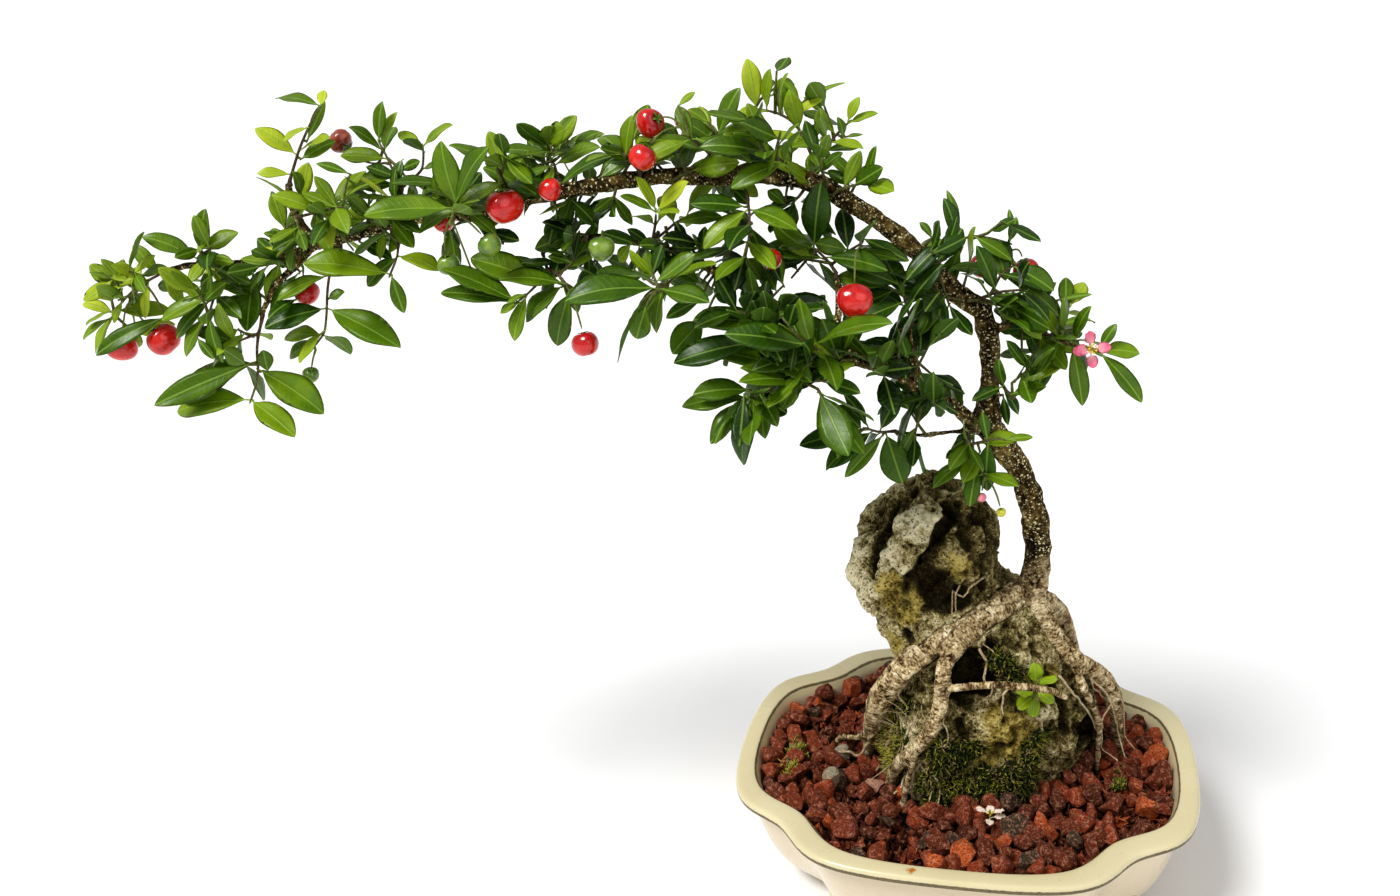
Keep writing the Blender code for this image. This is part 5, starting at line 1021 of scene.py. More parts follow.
def outline(inset, steps=16):
    """The mokko outline: a closed uniform B-spline round four lobes and four notches, moved inwards."""
    quarter = [(142.0, 0.0), (136.0, 74.0), (96.0, 81.5), (84.6, 121.8), (0.0, 125.0)]
    moved = [(x - inset if x else 0.0, y - inset if y else 0.0) for x, y in quarter]
    half = moved + [(-x, y) for x, y in reversed(moved[1:-1])]
    ring = np.array(half + [(-x, -y) for x, y in half])
    a, b, c, d = (np.roll(ring, 1 - k, axis=0)[:, None] for k in range(4))
    t = (np.arange(steps) / steps)[None, :, None]
    curve = (a * (1 - t) ** 3 + b * (3 * t ** 3 - 6 * t ** 2 + 4) + c * (-3 * t ** 3 + 3 * t ** 2 + 3 * t + 1)
             + d * t ** 3) / 6.0
    return curve.reshape(-1, 2)


def cut_corners(profile, times):
    """Rounds an open profile by cutting each corner at a quarter of its edges."""
    for _ in range(times):
        start, end = profile[:-1], profile[1:]
        cut = np.stack([0.75 * start + 0.25 * end, 0.25 * start + 0.75 * end], axis=1).reshape(-1, 2)
        profile = np.vstack([profile[:1], cut, profile[-1:]])
    return profile


# The wall from the bottom's middle outwards, over the rim and down inside: inset and height
OUTSIDE = [(36.0, 8.0), (30.6, 8.0), (27.0, 11.5), (23.0, 16.5), (17.6, 28.0), (13.5, 41.0), (10.0, 56.0),
           (7.9, 70.6), (6.6, 72.6), (1.6, 73.4), (0.25, 74.6), (0.0, 77.0), (0.5, 79.1), (2.4, 80.0),
           (9.4, 80.0), (11.2, 79.2), (12.4, 76.6), (14.0, 73.0), (15.0, 62.0), (16.0, 52.0), (24.0, 31.0),
           (30.0, 20.0), (35.0, 16.2), (40.0, 16.0)]


def make_pot(look):
    """The glazed pot with its drain hole and feet, and where its glaze is worn, bare or rusty, and where the
    wall is.
    """
    profile = cut_corners(np.array(OUTSIDE), 2)
    rings = [np.column_stack([outline(inset), np.full(len(outline(0)), height)]) for inset, height in profile]
    sides = len(rings[0])
    bearing = np.arctan2(rings[0][:, 1], rings[0][:, 0])
    hole = 11.0 * np.column_stack([np.cos(bearing), np.sin(bearing)])
    for place, height in ((0, 8.0), (len(rings) + 1, 16.0)):
        rings.insert(place, np.column_stack([hole, np.full(sides, height)]))
    points = np.concatenate(rings) + POT
    faces = band_faces(len(rings), sides, closed=True)
    inset = np.concatenate([[100.0], profile[:, 0], [100.0]])
    height = np.concatenate([[8.0], profile[:, 1], [16.0]])
    inner = np.exp(-((inset - 11.3) / 0.55) ** 2) * (height > 77.0)
    lower = 1.5 * np.exp(-((height - 75.6) / 1.3) ** 2) * (inset < 4.0)
    worn = np.repeat(np.maximum(inner, lower), sides)
    wall = np.repeat((height < 73.0) & (inset < 40.0), sides)
    rust = np.exp(-((points - POT - (-20.8, -117.7, 80.0)) ** 2).sum(axis=1) / 4.2 ** 2)
    heap = Heap()
    heap.add(points, faces, 0, np.column_stack([worn, np.zeros(len(worn)), wall, rust]), clipped=False)
    for x in (-60.0, 60.0):
        for y in (-46.0, 46.0):
            grow_foot(heap, POT + (x, y, 0.0))
    heap.settle("pot_glaze", [look], "cream_glaze", "pot", labels={"worn": 0, "foot": 1, "wall": 2, "rust": 3})


def grow_foot(heap, place):
    """A low foot with rounded sides, slightly wider at the top and bare at the bottom."""
    angles = math.tau * (np.arange(40) + 0.5) / 40
    shape = np.column_stack([half * np.sign(way) * np.abs(way) ** 0.55
                             for half, way in ((20.0, np.cos(angles)), (15.0, np.sin(angles)))])
    levels = [(0.0, 0.94), (0.15, 0.972), (1.0, 0.99), (4.0, 1.0), (8.0, 1.0), (11.0, 1.02)]
    rings = [np.column_stack([shape * share, np.full(40, height)]) for height, share in levels]
    values = np.zeros((40 * len(levels), 4))
    values[:2 * 40, 1] = 1.0
    heap.add(np.concatenate(rings) + place, tube_faces(len(levels), 40), 0, values, clipped=False)


def glaze_look():
    look = Look("glaze", Specular_IOR_Level=0.4, Coat_Weight=0.35, Coat_Roughness=0.14)
    cloud = look.noise(46.0, 2.0)
    cream = look.ramp(cloud, (0.3, (0.64, 0.565, 0.345)), (0.7, (0.685, 0.61, 0.385)))
    cream = look.mix(look.step(look.attribute("wall"), 0.2, 0.8, 0.0, 0.6), cream, (0.74, 0.61, 0.48))
    speck = look.specks(3.1, (0.06, 0.15), (8.0, 2.0), (0.46, 0.6))
    colour = look.mix(look.times(speck, 0.5), cream, (0.34, 0.25, 0.12))
    colour = look.mix(look.step(look.noise(1.3, 3.0), 0.5, 0.8, 0.0, 0.25), colour, (0.60, 0.50, 0.29))
    rust = look.plus(look.attribute("rust"), look.times(look.noise(1.6, 3.0), 0.7))
    colour = look.mix(look.step(rust, 0.85, 1.15), colour, (0.45, 0.17, 0.02))
    ragged = look.plus(look.attribute("worn"), look.times(look.noise(3.0, 4.0, 0.7), 1.1))
    line = look.step(ragged, 0.96, 1.20)
    iron = look.ramp(look.noise(1.0, 3.0), (0.35, (0.055, 0.040, 0.014)), (0.65, (0.17, 0.13, 0.058)))
    colour = look.mix(look.times(line, 0.93), colour, iron)
    colour = look.mix(look.step(look.attribute("foot"), 0.4, 0.8), colour,
                      look.ramp(look.noise(1.2, 4.0), (0.3, (0.26, 0.17, 0.10)), (0.7, (0.44, 0.33, 0.22))))
    look.raised(line, -0.25)
    look.raised(speck, -0.15)
    look.raised(look.noise(6.0, 2.0), 0.05)
    rough = look.calc("MAXIMUM", look.step(cloud, 0.3, 0.7, 0.24, 0.32), look.times(line, 0.8))
    return look.done(colour, rough)


# Gravel

STONE_COUNT = 760
SETTLING_ROUNDS = 110
SOIL_HEIGHT = 62.8
# Stones of a certain tone: across, deep and tone
PINNED = [(-80, -3, 0.13), (-55, -26, 0.17), (-68, -42, 0.12), (37, -41, 0.02), (-100, 40, 0.01),
          (-38, -72, 0.03), (60, -72, 0.05), (-70, -50, 0.85), (20, -75, 0.9)]


def drop_stones(obstacles):
    """Centres and radii of stones that have settled on the soil, inside the pot and clear of the rock."""
    draw = np.random.default_rng(12)
    rim = outline(14.2)
    bearings = np.arctan2(rim[:, 1], rim[:, 0])
    order = np.argsort(bearings)
    reach = np.hypot(rim[order, 0], rim[order, 1])
    bearings = bearings[order]
    radius = np.clip(draw.normal(4.75, 1.1, STONE_COUNT), 2.8, 7.6)
    turn = draw.uniform(-math.pi, math.pi, STONE_COUNT)
    out = np.interp(turn, bearings, reach, period=math.tau) * np.sqrt(draw.uniform(0.15, 1.0, STONE_COUNT))
    place = np.column_stack([out * np.cos(turn), out * np.sin(turn), draw.uniform(64.0, 95.0, STONE_COUNT)])
    pair = radius[:, None] + radius[None, :]
    for turn_number in range(SETTLING_ROUNDS):
        place[:, 2] -= 0.45
        gap = place[:, None] - place[None, :]
        distance = np.linalg.norm(gap, axis=-1) + np.eye(STONE_COUNT) * 99.0
        push = np.clip(0.93 * pair - distance, 0.0, None) / distance
        place += 0.34 * (gap * push[..., None]).sum(axis=1)
        if turn_number % 2:
            for k in range(STONE_COUNT):
                spot, normal, _, away = obstacles.find_nearest(Vector(place[k] + POT))
                inside = (Vector(place[k] + POT) - spot).dot(normal) < 0.0
                if inside or away < 0.8 * radius[k]:
                    place[k] = np.array(spot) - POT + np.array(normal) * 0.8 * radius[k]
        turn = np.arctan2(place[:, 1], place[:, 0])
        limit = np.interp(turn, bearings, reach, period=math.tau) - 0.95 * radius
        far = np.maximum(np.hypot(place[:, 0], place[:, 1]), 1e-6)
        place[:, :2] *= np.minimum(1.0, limit / far)[:, None]
        lowest = SOIL_HEIGHT + 1.6 * ease(place[:, 1] - 0.4 * place[:, 0], -60.0, 70.0)
        place[:, 2] = np.maximum(place[:, 2], lowest + 0.8 * radius)
    return place, radius


def ball(level):
    """A round ball of radius 1 in triangles: its points and faces."""
    body = bmesh.new()
    bmesh.ops.create_icosphere(body, subdivisions=level, radius=1.0)
    points = np.array([v.co[:] for v in body.verts])
    faces = np.array([[v.index for v in f.verts] for f in body.faces])
    body.free()
    return points, faces


def make_gravel(look, obstacles):
    """Angular stones, finer where they show, in two pieces. Gives the points and faces of them all."""
    place, radius = drop_stones(obstacles)
    draw = np.random.default_rng(21)
    count = len(place)
    sphere, faces = ball(3)
    tones = draw.uniform(0.2, 1.0, count)
    tones[draw.random(count) < 0.03] = 0.03
    shown = place[:, 2] + 0.5 * radius > 71.0
    for x, y, tone in PINNED:
        gap = np.hypot(place[:, 0] - x, place[:, 1] - y) - 0.4 * (place[:, 2] - 70.0) + 50.0 * ~shown
        tones[np.argmin(gap)] = tone
    points = np.repeat(sphere[None], count, axis=0)
    for _ in range(11):
        cut = unit(draw.normal(size=(count, 1, 3)))
        over = (points * cut).sum(-1, keepdims=True) - draw.uniform(0.42, 0.82, (count, 1, 1))
        points = points - np.clip(over, 0.0, None) * cut
    shift = draw.uniform(0.0, 500.0, (count, 1, 3))
    flat = (points * 3.0 + shift).reshape(-1, 3)
    bumps = 0.11 * layered(flat, 1.9, 3, 5).reshape(count, -1, 1)
    points = 1.27 * points * (1.0 + bumps) * draw.uniform(0.7, 1.14, (count, 1, 3))
    spin, _ = np.linalg.qr(draw.normal(size=(count, 3, 3)))
    points = np.einsum("nij,nkj->nki", spin, points) * (1.08 * radius)[:, None, None]
    points = points + (place + POT)[:, None]
    coarse, coarse_faces = ball(2)
    order = np.argsort(place[:, 0])
    for name, members in (("gravel_left", order[:count // 2]), ("gravel_right", order[count // 2:])):
        heap = Heap()
        for k in members:
            if shown[k]:
                heap.add(points[k], faces.tolist(), 0, [tones[k]])
            else:
                heap.add(points[k, :len(coarse)], coarse_faces.tolist(), 0, [tones[k]])
        heap.settle(name, [look], "lava_gravel", *(["gravel"] if name == "gravel_left" else []),
                    labels={"tone": 0}, smooth=False)
    every = (faces[None] + np.arange(count)[:, None, None] * len(sphere)).reshape(-1, 3)
    return points.reshape(-1, 3), every


def gravel_look():
    look = Look("lava", Specular_IOR_Level=0.12)
    tone = look.attribute("tone")
    body = look.ramp(tone, (0.0, (0.035, 0.026, 0.016)), (0.08, (0.075, 0.055, 0.034)),
                     (0.11, (0.27, 0.25, 0.17)), (0.145, (0.36, 0.33, 0.24)),
                     (0.165, (0.66, 0.38, 0.27)), (0.19, (0.080, 0.022, 0.010)),
                     (0.4, (0.135, 0.031, 0.013)), (0.75, (0.205, 0.044, 0.018)),
                     (0.93, (0.28, 0.054, 0.018)), (1.0, (0.44, 0.096, 0.020)))
    patch = look.noise(2.4, 5.0, 0.75)
    dusty = look.mix(0.68, body, (0.56, 0.28, 0.185))
    colour = look.mix(look.step(patch, 0.46, 0.66, 0.0, 0.88), body, dusty)
    colour = look.mix(look.step(patch, 0.28, 0.46, 0.75, 0.0), colour, (0.040, 0.013, 0.008))
    pores = look.specks(1.15, (0.18, 0.4), (2.4, 2.0), (0.36, 0.52))
    colour = look.mix(look.times(pores, 0.75), colour, (0.030, 0.009, 0.006))
    look.raised(pores, -0.5)
    look.raised(patch, 0.32)
    look.raised(look.noise(0.6, 3.0, 0.7), 0.15)
    return look.done(colour, look.step(patch, 0.3, 0.7, 0.9, 0.55))


# Fruit and flowers

def find_balls(points, triangles):
    """The fruits of a CAD node as (centre, way from the stalk, half width), and the points they take up."""
    around = neighbours(len(points), triangles)
    balls = []
    used = set()
    for tip in range(len(points)):
        seen = {tip}
        ring = around[tip]
        middles = []
        while len(ring) == 8:
            middles.append(points[sorted(ring)].mean(axis=0))
            seen |= ring
            ring = set().union(*(around[p] for p in ring)) - seen
        if len(middles) not in (3, 4):
            continue
        span = points[tip] - middles[-1]
        ahead = unit(span)
        half = float(np.linalg.norm(span)) / (1.635 if len(middles) == 4 else 1.577)
        balls.append((points[tip] - ahead * 0.84 * half, ahead, half))
        used |= seen
    return balls, used


def grow_ball(heap, centre, ahead, half, draw, tone, wrinkled):
    """A glossy fruit with three soft lobes, a hollow at the stalk and a small one at the end."""
    polar = np.linspace(0.0, math.pi, 24)[:, None]
    angle = math.tau * np.arange(36)[None, :] / 36
    phase = draw.uniform(0.0, math.tau)
    side = unit(np.cross(ahead, (0.31, 0.22, 0.92)))
    over = np.cross(ahead, side)
    lobe = 0.06 * np.cos(3.0 * angle + phase) + 0.014 * np.cos(6.0 * angle + 2.0 * phase)
    lobe = 1.0 + lobe * np.sin(polar) ** 1.5
    out = np.sin(polar) ** 0.94 * lobe
    along = -np.cos(polar) * (0.92 - 0.30 * np.exp(-(polar / 0.36) ** 2)
                              - 0.09 * np.exp(-((math.pi - polar) / 0.26) ** 2)) * (0.5 + 0.5 * lobe)
    shell = ((side * np.cos(angle)[..., None] + over * np.sin(angle)[..., None]) * out[..., None]
             + ahead * along[..., None])
    shell = shell.reshape(-1, 3)
    if wrinkled:
        folds = layered(shell * half + draw.uniform(0.0, 90.0, 3), 3.2, 2, 3)
        shell = shell * (1.0 - wrinkled * np.abs(folds))[:, None]
    values = np.tile(tone * STEM_VALUE, (len(shell), 1))
    values[:, 1] = np.repeat(polar[:, 0] / math.pi, 36)
    heap.add(centre + shell * half, band_faces(24, 36), 2, values)
    rim = centre - ahead * 0.66 * half
    for k in range(5):
        turn = math.tau * (k + 0.2) / 5 + phase
        way = side * math.cos(turn) + over * math.sin(turn)
        tip = centre - ahead * 0.82 * half + way * 0.48 * half
        sepal = Leaf(rim, tip, -ahead, 0.13 * half, 0.1 * half)
        grow_blade(heap, sepal, draw, 0.35, stalk=0.2, thick=0.3, few=True)


def fruit_look(name, dark, middle, bright, gloss=0.14, glow=0.12):
    look = Look(name, Coat_Weight=0.6, Coat_Roughness=0.07, Subsurface_Weight=glow,
                Subsurface_Radius=(1.0, 0.3, 0.2), Subsurface_Scale=0.003)
    end = look.attribute("vein", 1)
    blush = look.plus(look.times(look.noise(7.0, 3.0), 0.8), look.times(end, 0.25))
    colour = look.ramp(blush, (0.3, dark), (0.5, middle), (0.72, bright))
    colour = look.mix(look.step(end, 0.0, 0.09, 0.75, 0.0), colour, (0.07, 0.035, 0.012))
    specks = look.step(look.cells(1.7), 0.06, 0.16, 0.35, 0.0)
    colour = look.mix(specks, colour, look.mix(0.5, colour, (0.85, 0.55, 0.35)))
    look.raised(look.noise(5.0, 2.0), 0.25)
    look.raised(look.noise(1.3, 2.0), 0.03)
    return look.done(colour, look.step(look.noise(4.0, 3.0), 0.3, 0.75, gloss, gloss + 0.12))


def petal_look(name, pale, strong, edge):
    look = Look(name, Subsurface_Weight=0.15, Subsurface_Radius=(1.0, 0.6, 0.6), Subsurface_Scale=0.001)
    far = look.step(look.attribute("vein", 1), 2.0, 8.5)
    colour = look.mix(far, pale, strong)
    colour = look.mix(look.step(look.attribute("vein", 2), 0.6, 1.0, 0.0, 0.8), colour, edge)
    colour = look.mix(look.step(look.noise(1.6, 3.0), 0.5, 0.75, 0.0, 0.4), colour, edge)
    look.raised(look.noise(0.9, 3.0), 0.2)
    return look.done(colour, look.step(look.noise(2.0, 2.0), 0.3, 0.7, 0.5, 0.65))


def stamen_look():
    look = Look("stamens")
    colour = look.ramp(look.noise(0.8, 3.0), (0.3, (0.62, 0.36, 0.02)), (0.7, (0.90, 0.68, 0.08)))
    look.raised(look.noise(0.4, 2.0), 0.1)
    return look.done(colour, look.step(look.noise(1.0, 2.0), 0.3, 0.7, 0.5, 0.75))


COLLAR_REACH = 8.0


def grow_collar(heap, name, stem, kind, value, carriers):
    """A short swollen joint that runs from inside the carrying wood into the start of a stem."""
    best = None
    for other, tree in carriers.items():
        if other == name:
            continue
        for k, point in enumerate(stem.tolist()):
            spot, normal, _, away = tree.find_nearest(point, COLLAR_REACH)
            if spot is not None and (best is None or away < best[0]):
                best = (away, k, np.array(spot), np.array(normal))
    _, k, spot, normal = best
    ring = stem[np.linalg.norm(stem - stem[k], axis=1) < 2.95]
    start = ring.mean(axis=0)
    reach = float(np.clip(np.linalg.norm(ring - start, axis=1).max(), 0.5, 1.9))
    far = np.linalg.norm(stem - start, axis=1)
    onward = stem[(far > 3.2) & (far < 15.0)]
    if not len(onward):
        return
    onward = onward[np.argsort(np.linalg.norm(onward - start, axis=1))[:4]].mean(axis=0)
    way = unit(onward - start)
    line = [spot - normal * 1.5, spot, start + way, start + way * 3.0, start + way * 6.0]
    grow_tube(heap, line, [reach * s for s in (1.25, 1.15, 0.9, 0.8, 0.5)], 8, kind, value)


def grow_seed_ball(heap, centre, radius, kind, value, level):
    points, faces = ball(level)
    heap.add(points * radius + centre, faces.tolist(), kind, value)


def dress_fruit(name, looks, body, carriers):
    """A fruit node: its round fruits, their sepals and the stalks."""
    solid = welded(name)
    balls, used = find_balls(*solid)
    draw = named_draw(name, 9)
    heap = Heap()
    withered = name == "cherry_withered"
    for centre, ahead, half in sorted(balls, key=lambda b: tuple(b[0].round(1))):
        grow_ball(heap, centre, ahead, half, draw, draw.uniform(), 0.16 if withered else 0.0)
    add_stems(heap, name, solid, used, 3, 0.35 if withered else 0.95, carriers)
    heap.settle("fine_" + name, [looks[0], looks[1], body, looks[2]], SLOTS[name], name)


def dress_blossom(name, shares, outline, carriers, frill):
    """A flower or seedling: petals or round leaves on a stem. Gives the heap and the middle of their feet."""
    solid = welded(name)
    blades, used = find_blades(*solid, shares)
    draw = named_draw(name, 3)
    heap = Heap()
    for leaf in blades:
        grow_blade(heap, leaf, draw, 0.72, outline, 0.35, 0.25, 0.14, frill)
    add_stems(heap, name, solid, used, 2, 0.95, carriers)
    return heap, np.mean([leaf.base for leaf in blades], axis=0)


def make_flower(looks, pink, yellow, carriers):
    """The open flower, and its stamens round a small green heart."""
    heap, root = dress_blossom("flower_petals", PETAL_SHARES, petal_outline, carriers, 0.2)
    heap.settle("fine_flower", [pink, pink, looks[2]], SLOTS["flower_petals"], "flower_petals")
    ahead = unit(middle_of("flower_heart") - root)
    side = unit(np.cross(ahead, UP))
    over = np.cross(ahead, side)
    stamens = Heap()
    for k in range(10):
        turn = math.tau * k / 10
        way = unit(ahead + (0.75 if k % 2 else 0.45) * (side * math.cos(turn) + over * math.sin(turn)))
        tip = root + ahead * 1.0 + way * (4.2 if k % 2 else 4.8)
        line = [root, root + ahead * 2.0 + way * 0.6, tip]
        grow_tube(stamens, line, [0.22, 0.2, 0.16], 5, 0, 0.6 * STEM_VALUE)
        grow_seed_ball(stamens, tip, 0.62, 0, 0.6 * STEM_VALUE, 1)
    grow_seed_ball(stamens, root + ahead * 2.4, 1.25, 1, 0.6 * STEM_VALUE, 2)
    stamens.settle("flower_stamens", [yellow, looks[0]], SLOTS["flower_heart"], "flower_heart")


def make_fallen_flower(looks, pale, yellow):
    """The faded flower on the gravel, with its stamens."""
    heap, root = dress_blossom("flower_fallen", PETAL_SHARES, petal_outline, None, 0.16)
    draw = np.random.default_rng(4)
    for k in range(9):
        turn = math.tau * k / 9
        tip = root + np.array([math.cos(turn) * 1.7, math.sin(turn) * 1.7, draw.uniform(1.5, 3.0)])
        grow_tube(heap, [root, 0.5 * (root + tip) + UP * 0.8, tip], [0.2, 0.18, 0.15], 5, 3, 0.6 * STEM_VALUE)
        grow_seed_ball(heap, tip, 0.5, 3, 0.6 * STEM_VALUE, 1)
    heap.settle("fine_fallen_flower", [pale, pale, looks[2], yellow], SLOTS["flower_fallen"], "flower_fallen")


def make_seedling(looks, carriers):
    heap, _ = dress_blossom("seedling", ROUND_SHARES, round_outline, carriers, 0.0)
    heap.settle("fine_seedling", looks, SLOTS["seedling"], "seedling")


def soil_look():
    look = Look("earth", Specular_IOR_Level=0.15)
    crumb = look.noise(2.5, 6.0, 0.7)
    look.raised(crumb, 1.2)
    colour = look.ramp(crumb, (0.3, (0.018, 0.011, 0.007)), (0.55, (0.065, 0.042, 0.026)),
                       (0.8, (0.15, 0.10, 0.065)))
    return look.done(colour, look.step(crumb, 0.3, 0.7, 0.98, 0.88))


def plastic_look():
    look = Look("plastic")
    scuffs = look.noise(1.5, 4.0, 0.6)
    look.raised(scuffs, 0.05)
    return look.done(look.ramp(scuffs, (0.3, (0.018, 0.018, 0.018)), (0.8, (0.05, 0.048, 0.045))),
                     look.step(scuffs, 0.3, 0.7, 0.45, 0.65))


# Fruit and flower colours, from dark to bright
REDS = ((0.30, 0.003, 0.006), (0.58, 0.008, 0.008), (0.78, 0.03, 0.014))
BROWNS = ((0.10, 0.012, 0.006), (0.26, 0.035, 0.014), (0.42, 0.10, 0.04))
GREENS = ((0.05, 0.10, 0.012), (0.12, 0.22, 0.02), (0.26, 0.38, 0.05))
PINKS = ((0.45, 0.05, 0.09), (0.72, 0.14, 0.22), (0.88, 0.40, 0.46))
YELLOWS = ((0.25, 0.28, 0.02), (0.52, 0.50, 0.03), (0.80, 0.72, 0.08))


# Leafy shoots between the sprays: across, height, number, leaf lengths and how young they are

THICKETS = [((-513, -450), (358, 449), 8, (14, 26), 0.68), ((-481, -368), (309, 373), 2, (22, 30), 0.62),
            ((-440, -363), (385, 461), 12, (15, 27), 0.52), ((-364, -291), (415, 469), 15, (13, 24), 0.48),
            ((-330, -250), (400, 450), 8, (16, 28), 0.36),
            ((-285, -193), (423, 487), 17, (16, 28), 0.52), ((-218, -127), (383, 446), 15, (14, 28), 0.26),
            ((-182, -125), (446, 494), 11, (16, 28), 0.50), ((-131, -50), (433, 509), 15, (14, 26), 0.50),
            ((-136, -65), (370, 441), 15, (16, 30), 0.28), ((-131, -27), (336, 391), 12, (22, 38), 0.40),
            ((-75, 2), (271, 340), 7, (18, 32), 0.32), ((-53, 3), (329, 422), 13, (16, 30), 0.18),
            ((-19, 69), (347, 436), 12, (16, 28), 0.36), ((22, 99), (316, 381), 7, (18, 28), 0.50),
            ((-14, 40), (267, 325), 3, (16, 26), 0.42)]


# Places in the picture that stay open: across, down and radius
OPEN = [(105, 243, 15), (70, 278, 20), (180, 210, 14), (235, 203, 13), (240, 165, 15), (264, 163, 13),
        (322, 176, 9), (338, 180, 7), (425, 125, 13), (431, 150, 10), (540, 108, 18), (565, 102, 13),
        (614, 100, 24), (645, 90, 14), (590, 152, 9), (672, 202, 18), (700, 190, 11), (663, 224, 12),
        (690, 215, 14), (432, 240, 13), (470, 234, 8), (418, 262, 14), (478, 260, 13), (505, 262, 11),
        (695, 84, 14), (733, 84, 12), (856, 104, 16), (925, 208, 11), (939, 212, 7), (1112, 324, 14),
        (1010, 370, 10), (1050, 396, 15), (1020, 415, 9), (950, 356, 14), (934, 358, 10), (976, 374, 8),
        (925, 424, 10), (950, 420, 7), (936, 451, 12), (903, 418, 6), (822, 394, 14), (846, 391, 10),
        (785, 285, 11), (812, 286, 11), (800, 275, 9), (812, 218, 8), (836, 218, 8), (520, 225, 10),
        (120, 300, 6), (215, 320, 10), (190, 350, 10), (225, 385, 14), (640, 290, 8), (890, 300, 8),
        (880, 480, 12), (870, 330, 8), (730, 372, 10), (600, 260, 7), (983, 214, 15), (1034, 208, 20),
        (796, 424, 17), (768, 441, 11), (880, 381, 7), (385, 292, 15), (352, 279, 10), (285, 350, 13),
        (1091, 309, 9), (812, 74, 8), (485, 120, 13), (468, 136, 9), (592, 120, 11), (799, 157, 7),
        (848, 366, 8), (779, 126, 9), (410, 152, 8), (892, 320, 7), (920, 364, 9), (1046, 440, 12),
        (831, 107, 9), (425, 170, 9), (355, 285, 8), (1062, 236, 12)]

# Single leaves by where their foot and tip are seen: foot, tip, width and how young they are
PLACED = [(250, 364, 153, 405, 25, .42), (253, 274, 246, 331, 26, .36), (211, 300, 176, 338, 18, .34),
          (197, 338, 214, 359, 9, .40), (166, 317, 95, 355, 19, .36), (111, 318, 83, 339, 12, .62),
          (300, 272, 270, 314, 13, .28), (297, 299, 268, 318, 13, .26), (328, 299, 344, 291, 12, .45),
          (268, 372, 263, 350, 15, .45), (307, 141, 325, 101, 10, .52), (301, 159, 335, 141, 16, .50),
          (350, 174, 316, 163, 10, .40), (398, 178, 366, 166, 14, .25), (395, 192, 401, 160, 14, .32),
          (338, 208, 302, 192, 18, .60), (360, 242, 392, 259, 16, .22), (285, 229, 272, 193, 16, .62),
          (300, 236, 272, 251, 15, .34), (503, 168, 489, 131, 18, .70), (600, 178, 632, 156, 18, .50),
          (572, 151, 600, 131, 16, .46), (572, 200, 598, 226, 22, .26), (557, 212, 549, 244, 16, .26),
          (560, 284, 498, 262, 26, .40), (572, 263, 548, 256, 12, .38), (517, 303, 440, 291, 24, .40),
          (518, 303, 500, 313, 11, .62), (563, 286, 525, 321, 28, .44), (641, 302, 616, 362, 25, .34),
          (646, 306, 636, 339, 23, .46), (701, 300, 666, 318, 14, .32), (704, 320, 672, 353, 29, .42),
          (702, 284, 660, 262, 21, .40), (712, 288, 735, 303, 17, .16),
          (746, 207, 690, 203, 21, .28), (733, 189, 749, 204, 14, .30), (750, 390, 693, 394, 26, .40),
          (735, 404, 714, 443, 20, .40), (678, 106, 695, 92, 7, .66), (709, 123, 688, 109, 13, .55),
          (780, 113, 782, 77, 16, .56), (800, 101, 780, 78, 10, .52), (808, 98, 845, 82, 6, .60),
          (843, 139, 838, 117, 13, .40), (845, 137, 863, 134, 6, .40), (806, 142, 820, 123, 17, .36),
          (825, 151, 860, 147, 12, .40), (855, 186, 872, 162, 15, .36), (850, 186, 828, 170, 13, .40),
          (785, 205, 768, 190, 14, .42), (848, 250, 815, 243, 18, .44), (862, 238, 909, 261, 15, .32),
          (960, 230, 947, 190, 9, .46), (932, 238, 920, 222, 9, .42), (898, 330, 908, 358, 15, .36),
          (1003, 276, 1060, 316, 17, .40), (1058, 300, 1092, 294, 6, .46), (1058, 325, 1090, 319, 10, .50),
          (1022, 352, 1044, 382, 16, .28), (845, 450, 826, 470, 9, .34), (883, 435, 845, 477, 15, .42),
          (862, 430, 838, 405, 18, .30), (980, 452, 963, 482, 18, .56),
          (1003, 395, 1008, 425, 9, .22), (1005, 440, 1033, 437, 9, .50), (755, 395, 788, 413, 24, .12),
          (796, 372, 702, 350, 22, .50), (1012, 232, 1009, 209, 6, .42)]


def nodes_of(*starts):
    """The names of the nodes that begin in one of these ways, in order."""
    return [name for name in sorted(NODES) if name.startswith(starts)]


def middle_of(name):
    """The middle of a node's box, in millimetres."""
    return 0.5 * np.sum(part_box(name), axis=0) / MM


def seen_at(points):
    """Where points appear in the picture, in pixels, and how deep they are."""
    local = (points - EYE) @ np.array(VIEW)
    depth = -local[:, 2]
    return np.column_stack([0.5 * PICTURE[0] + FOCUS * local[:, 0] / depth,
                            0.5 * PICTURE[1] - FOCUS * local[:, 1] / depth]), depth


def sight(across, down, depth):
    """The point at that depth that appears at a place in the picture."""
    local = Vector((across - 0.5 * PICTURE[0], 0.5 * PICTURE[1] - down, -FOCUS)) * (depth / FOCUS)
    return EYE + np.array(VIEW @ local)


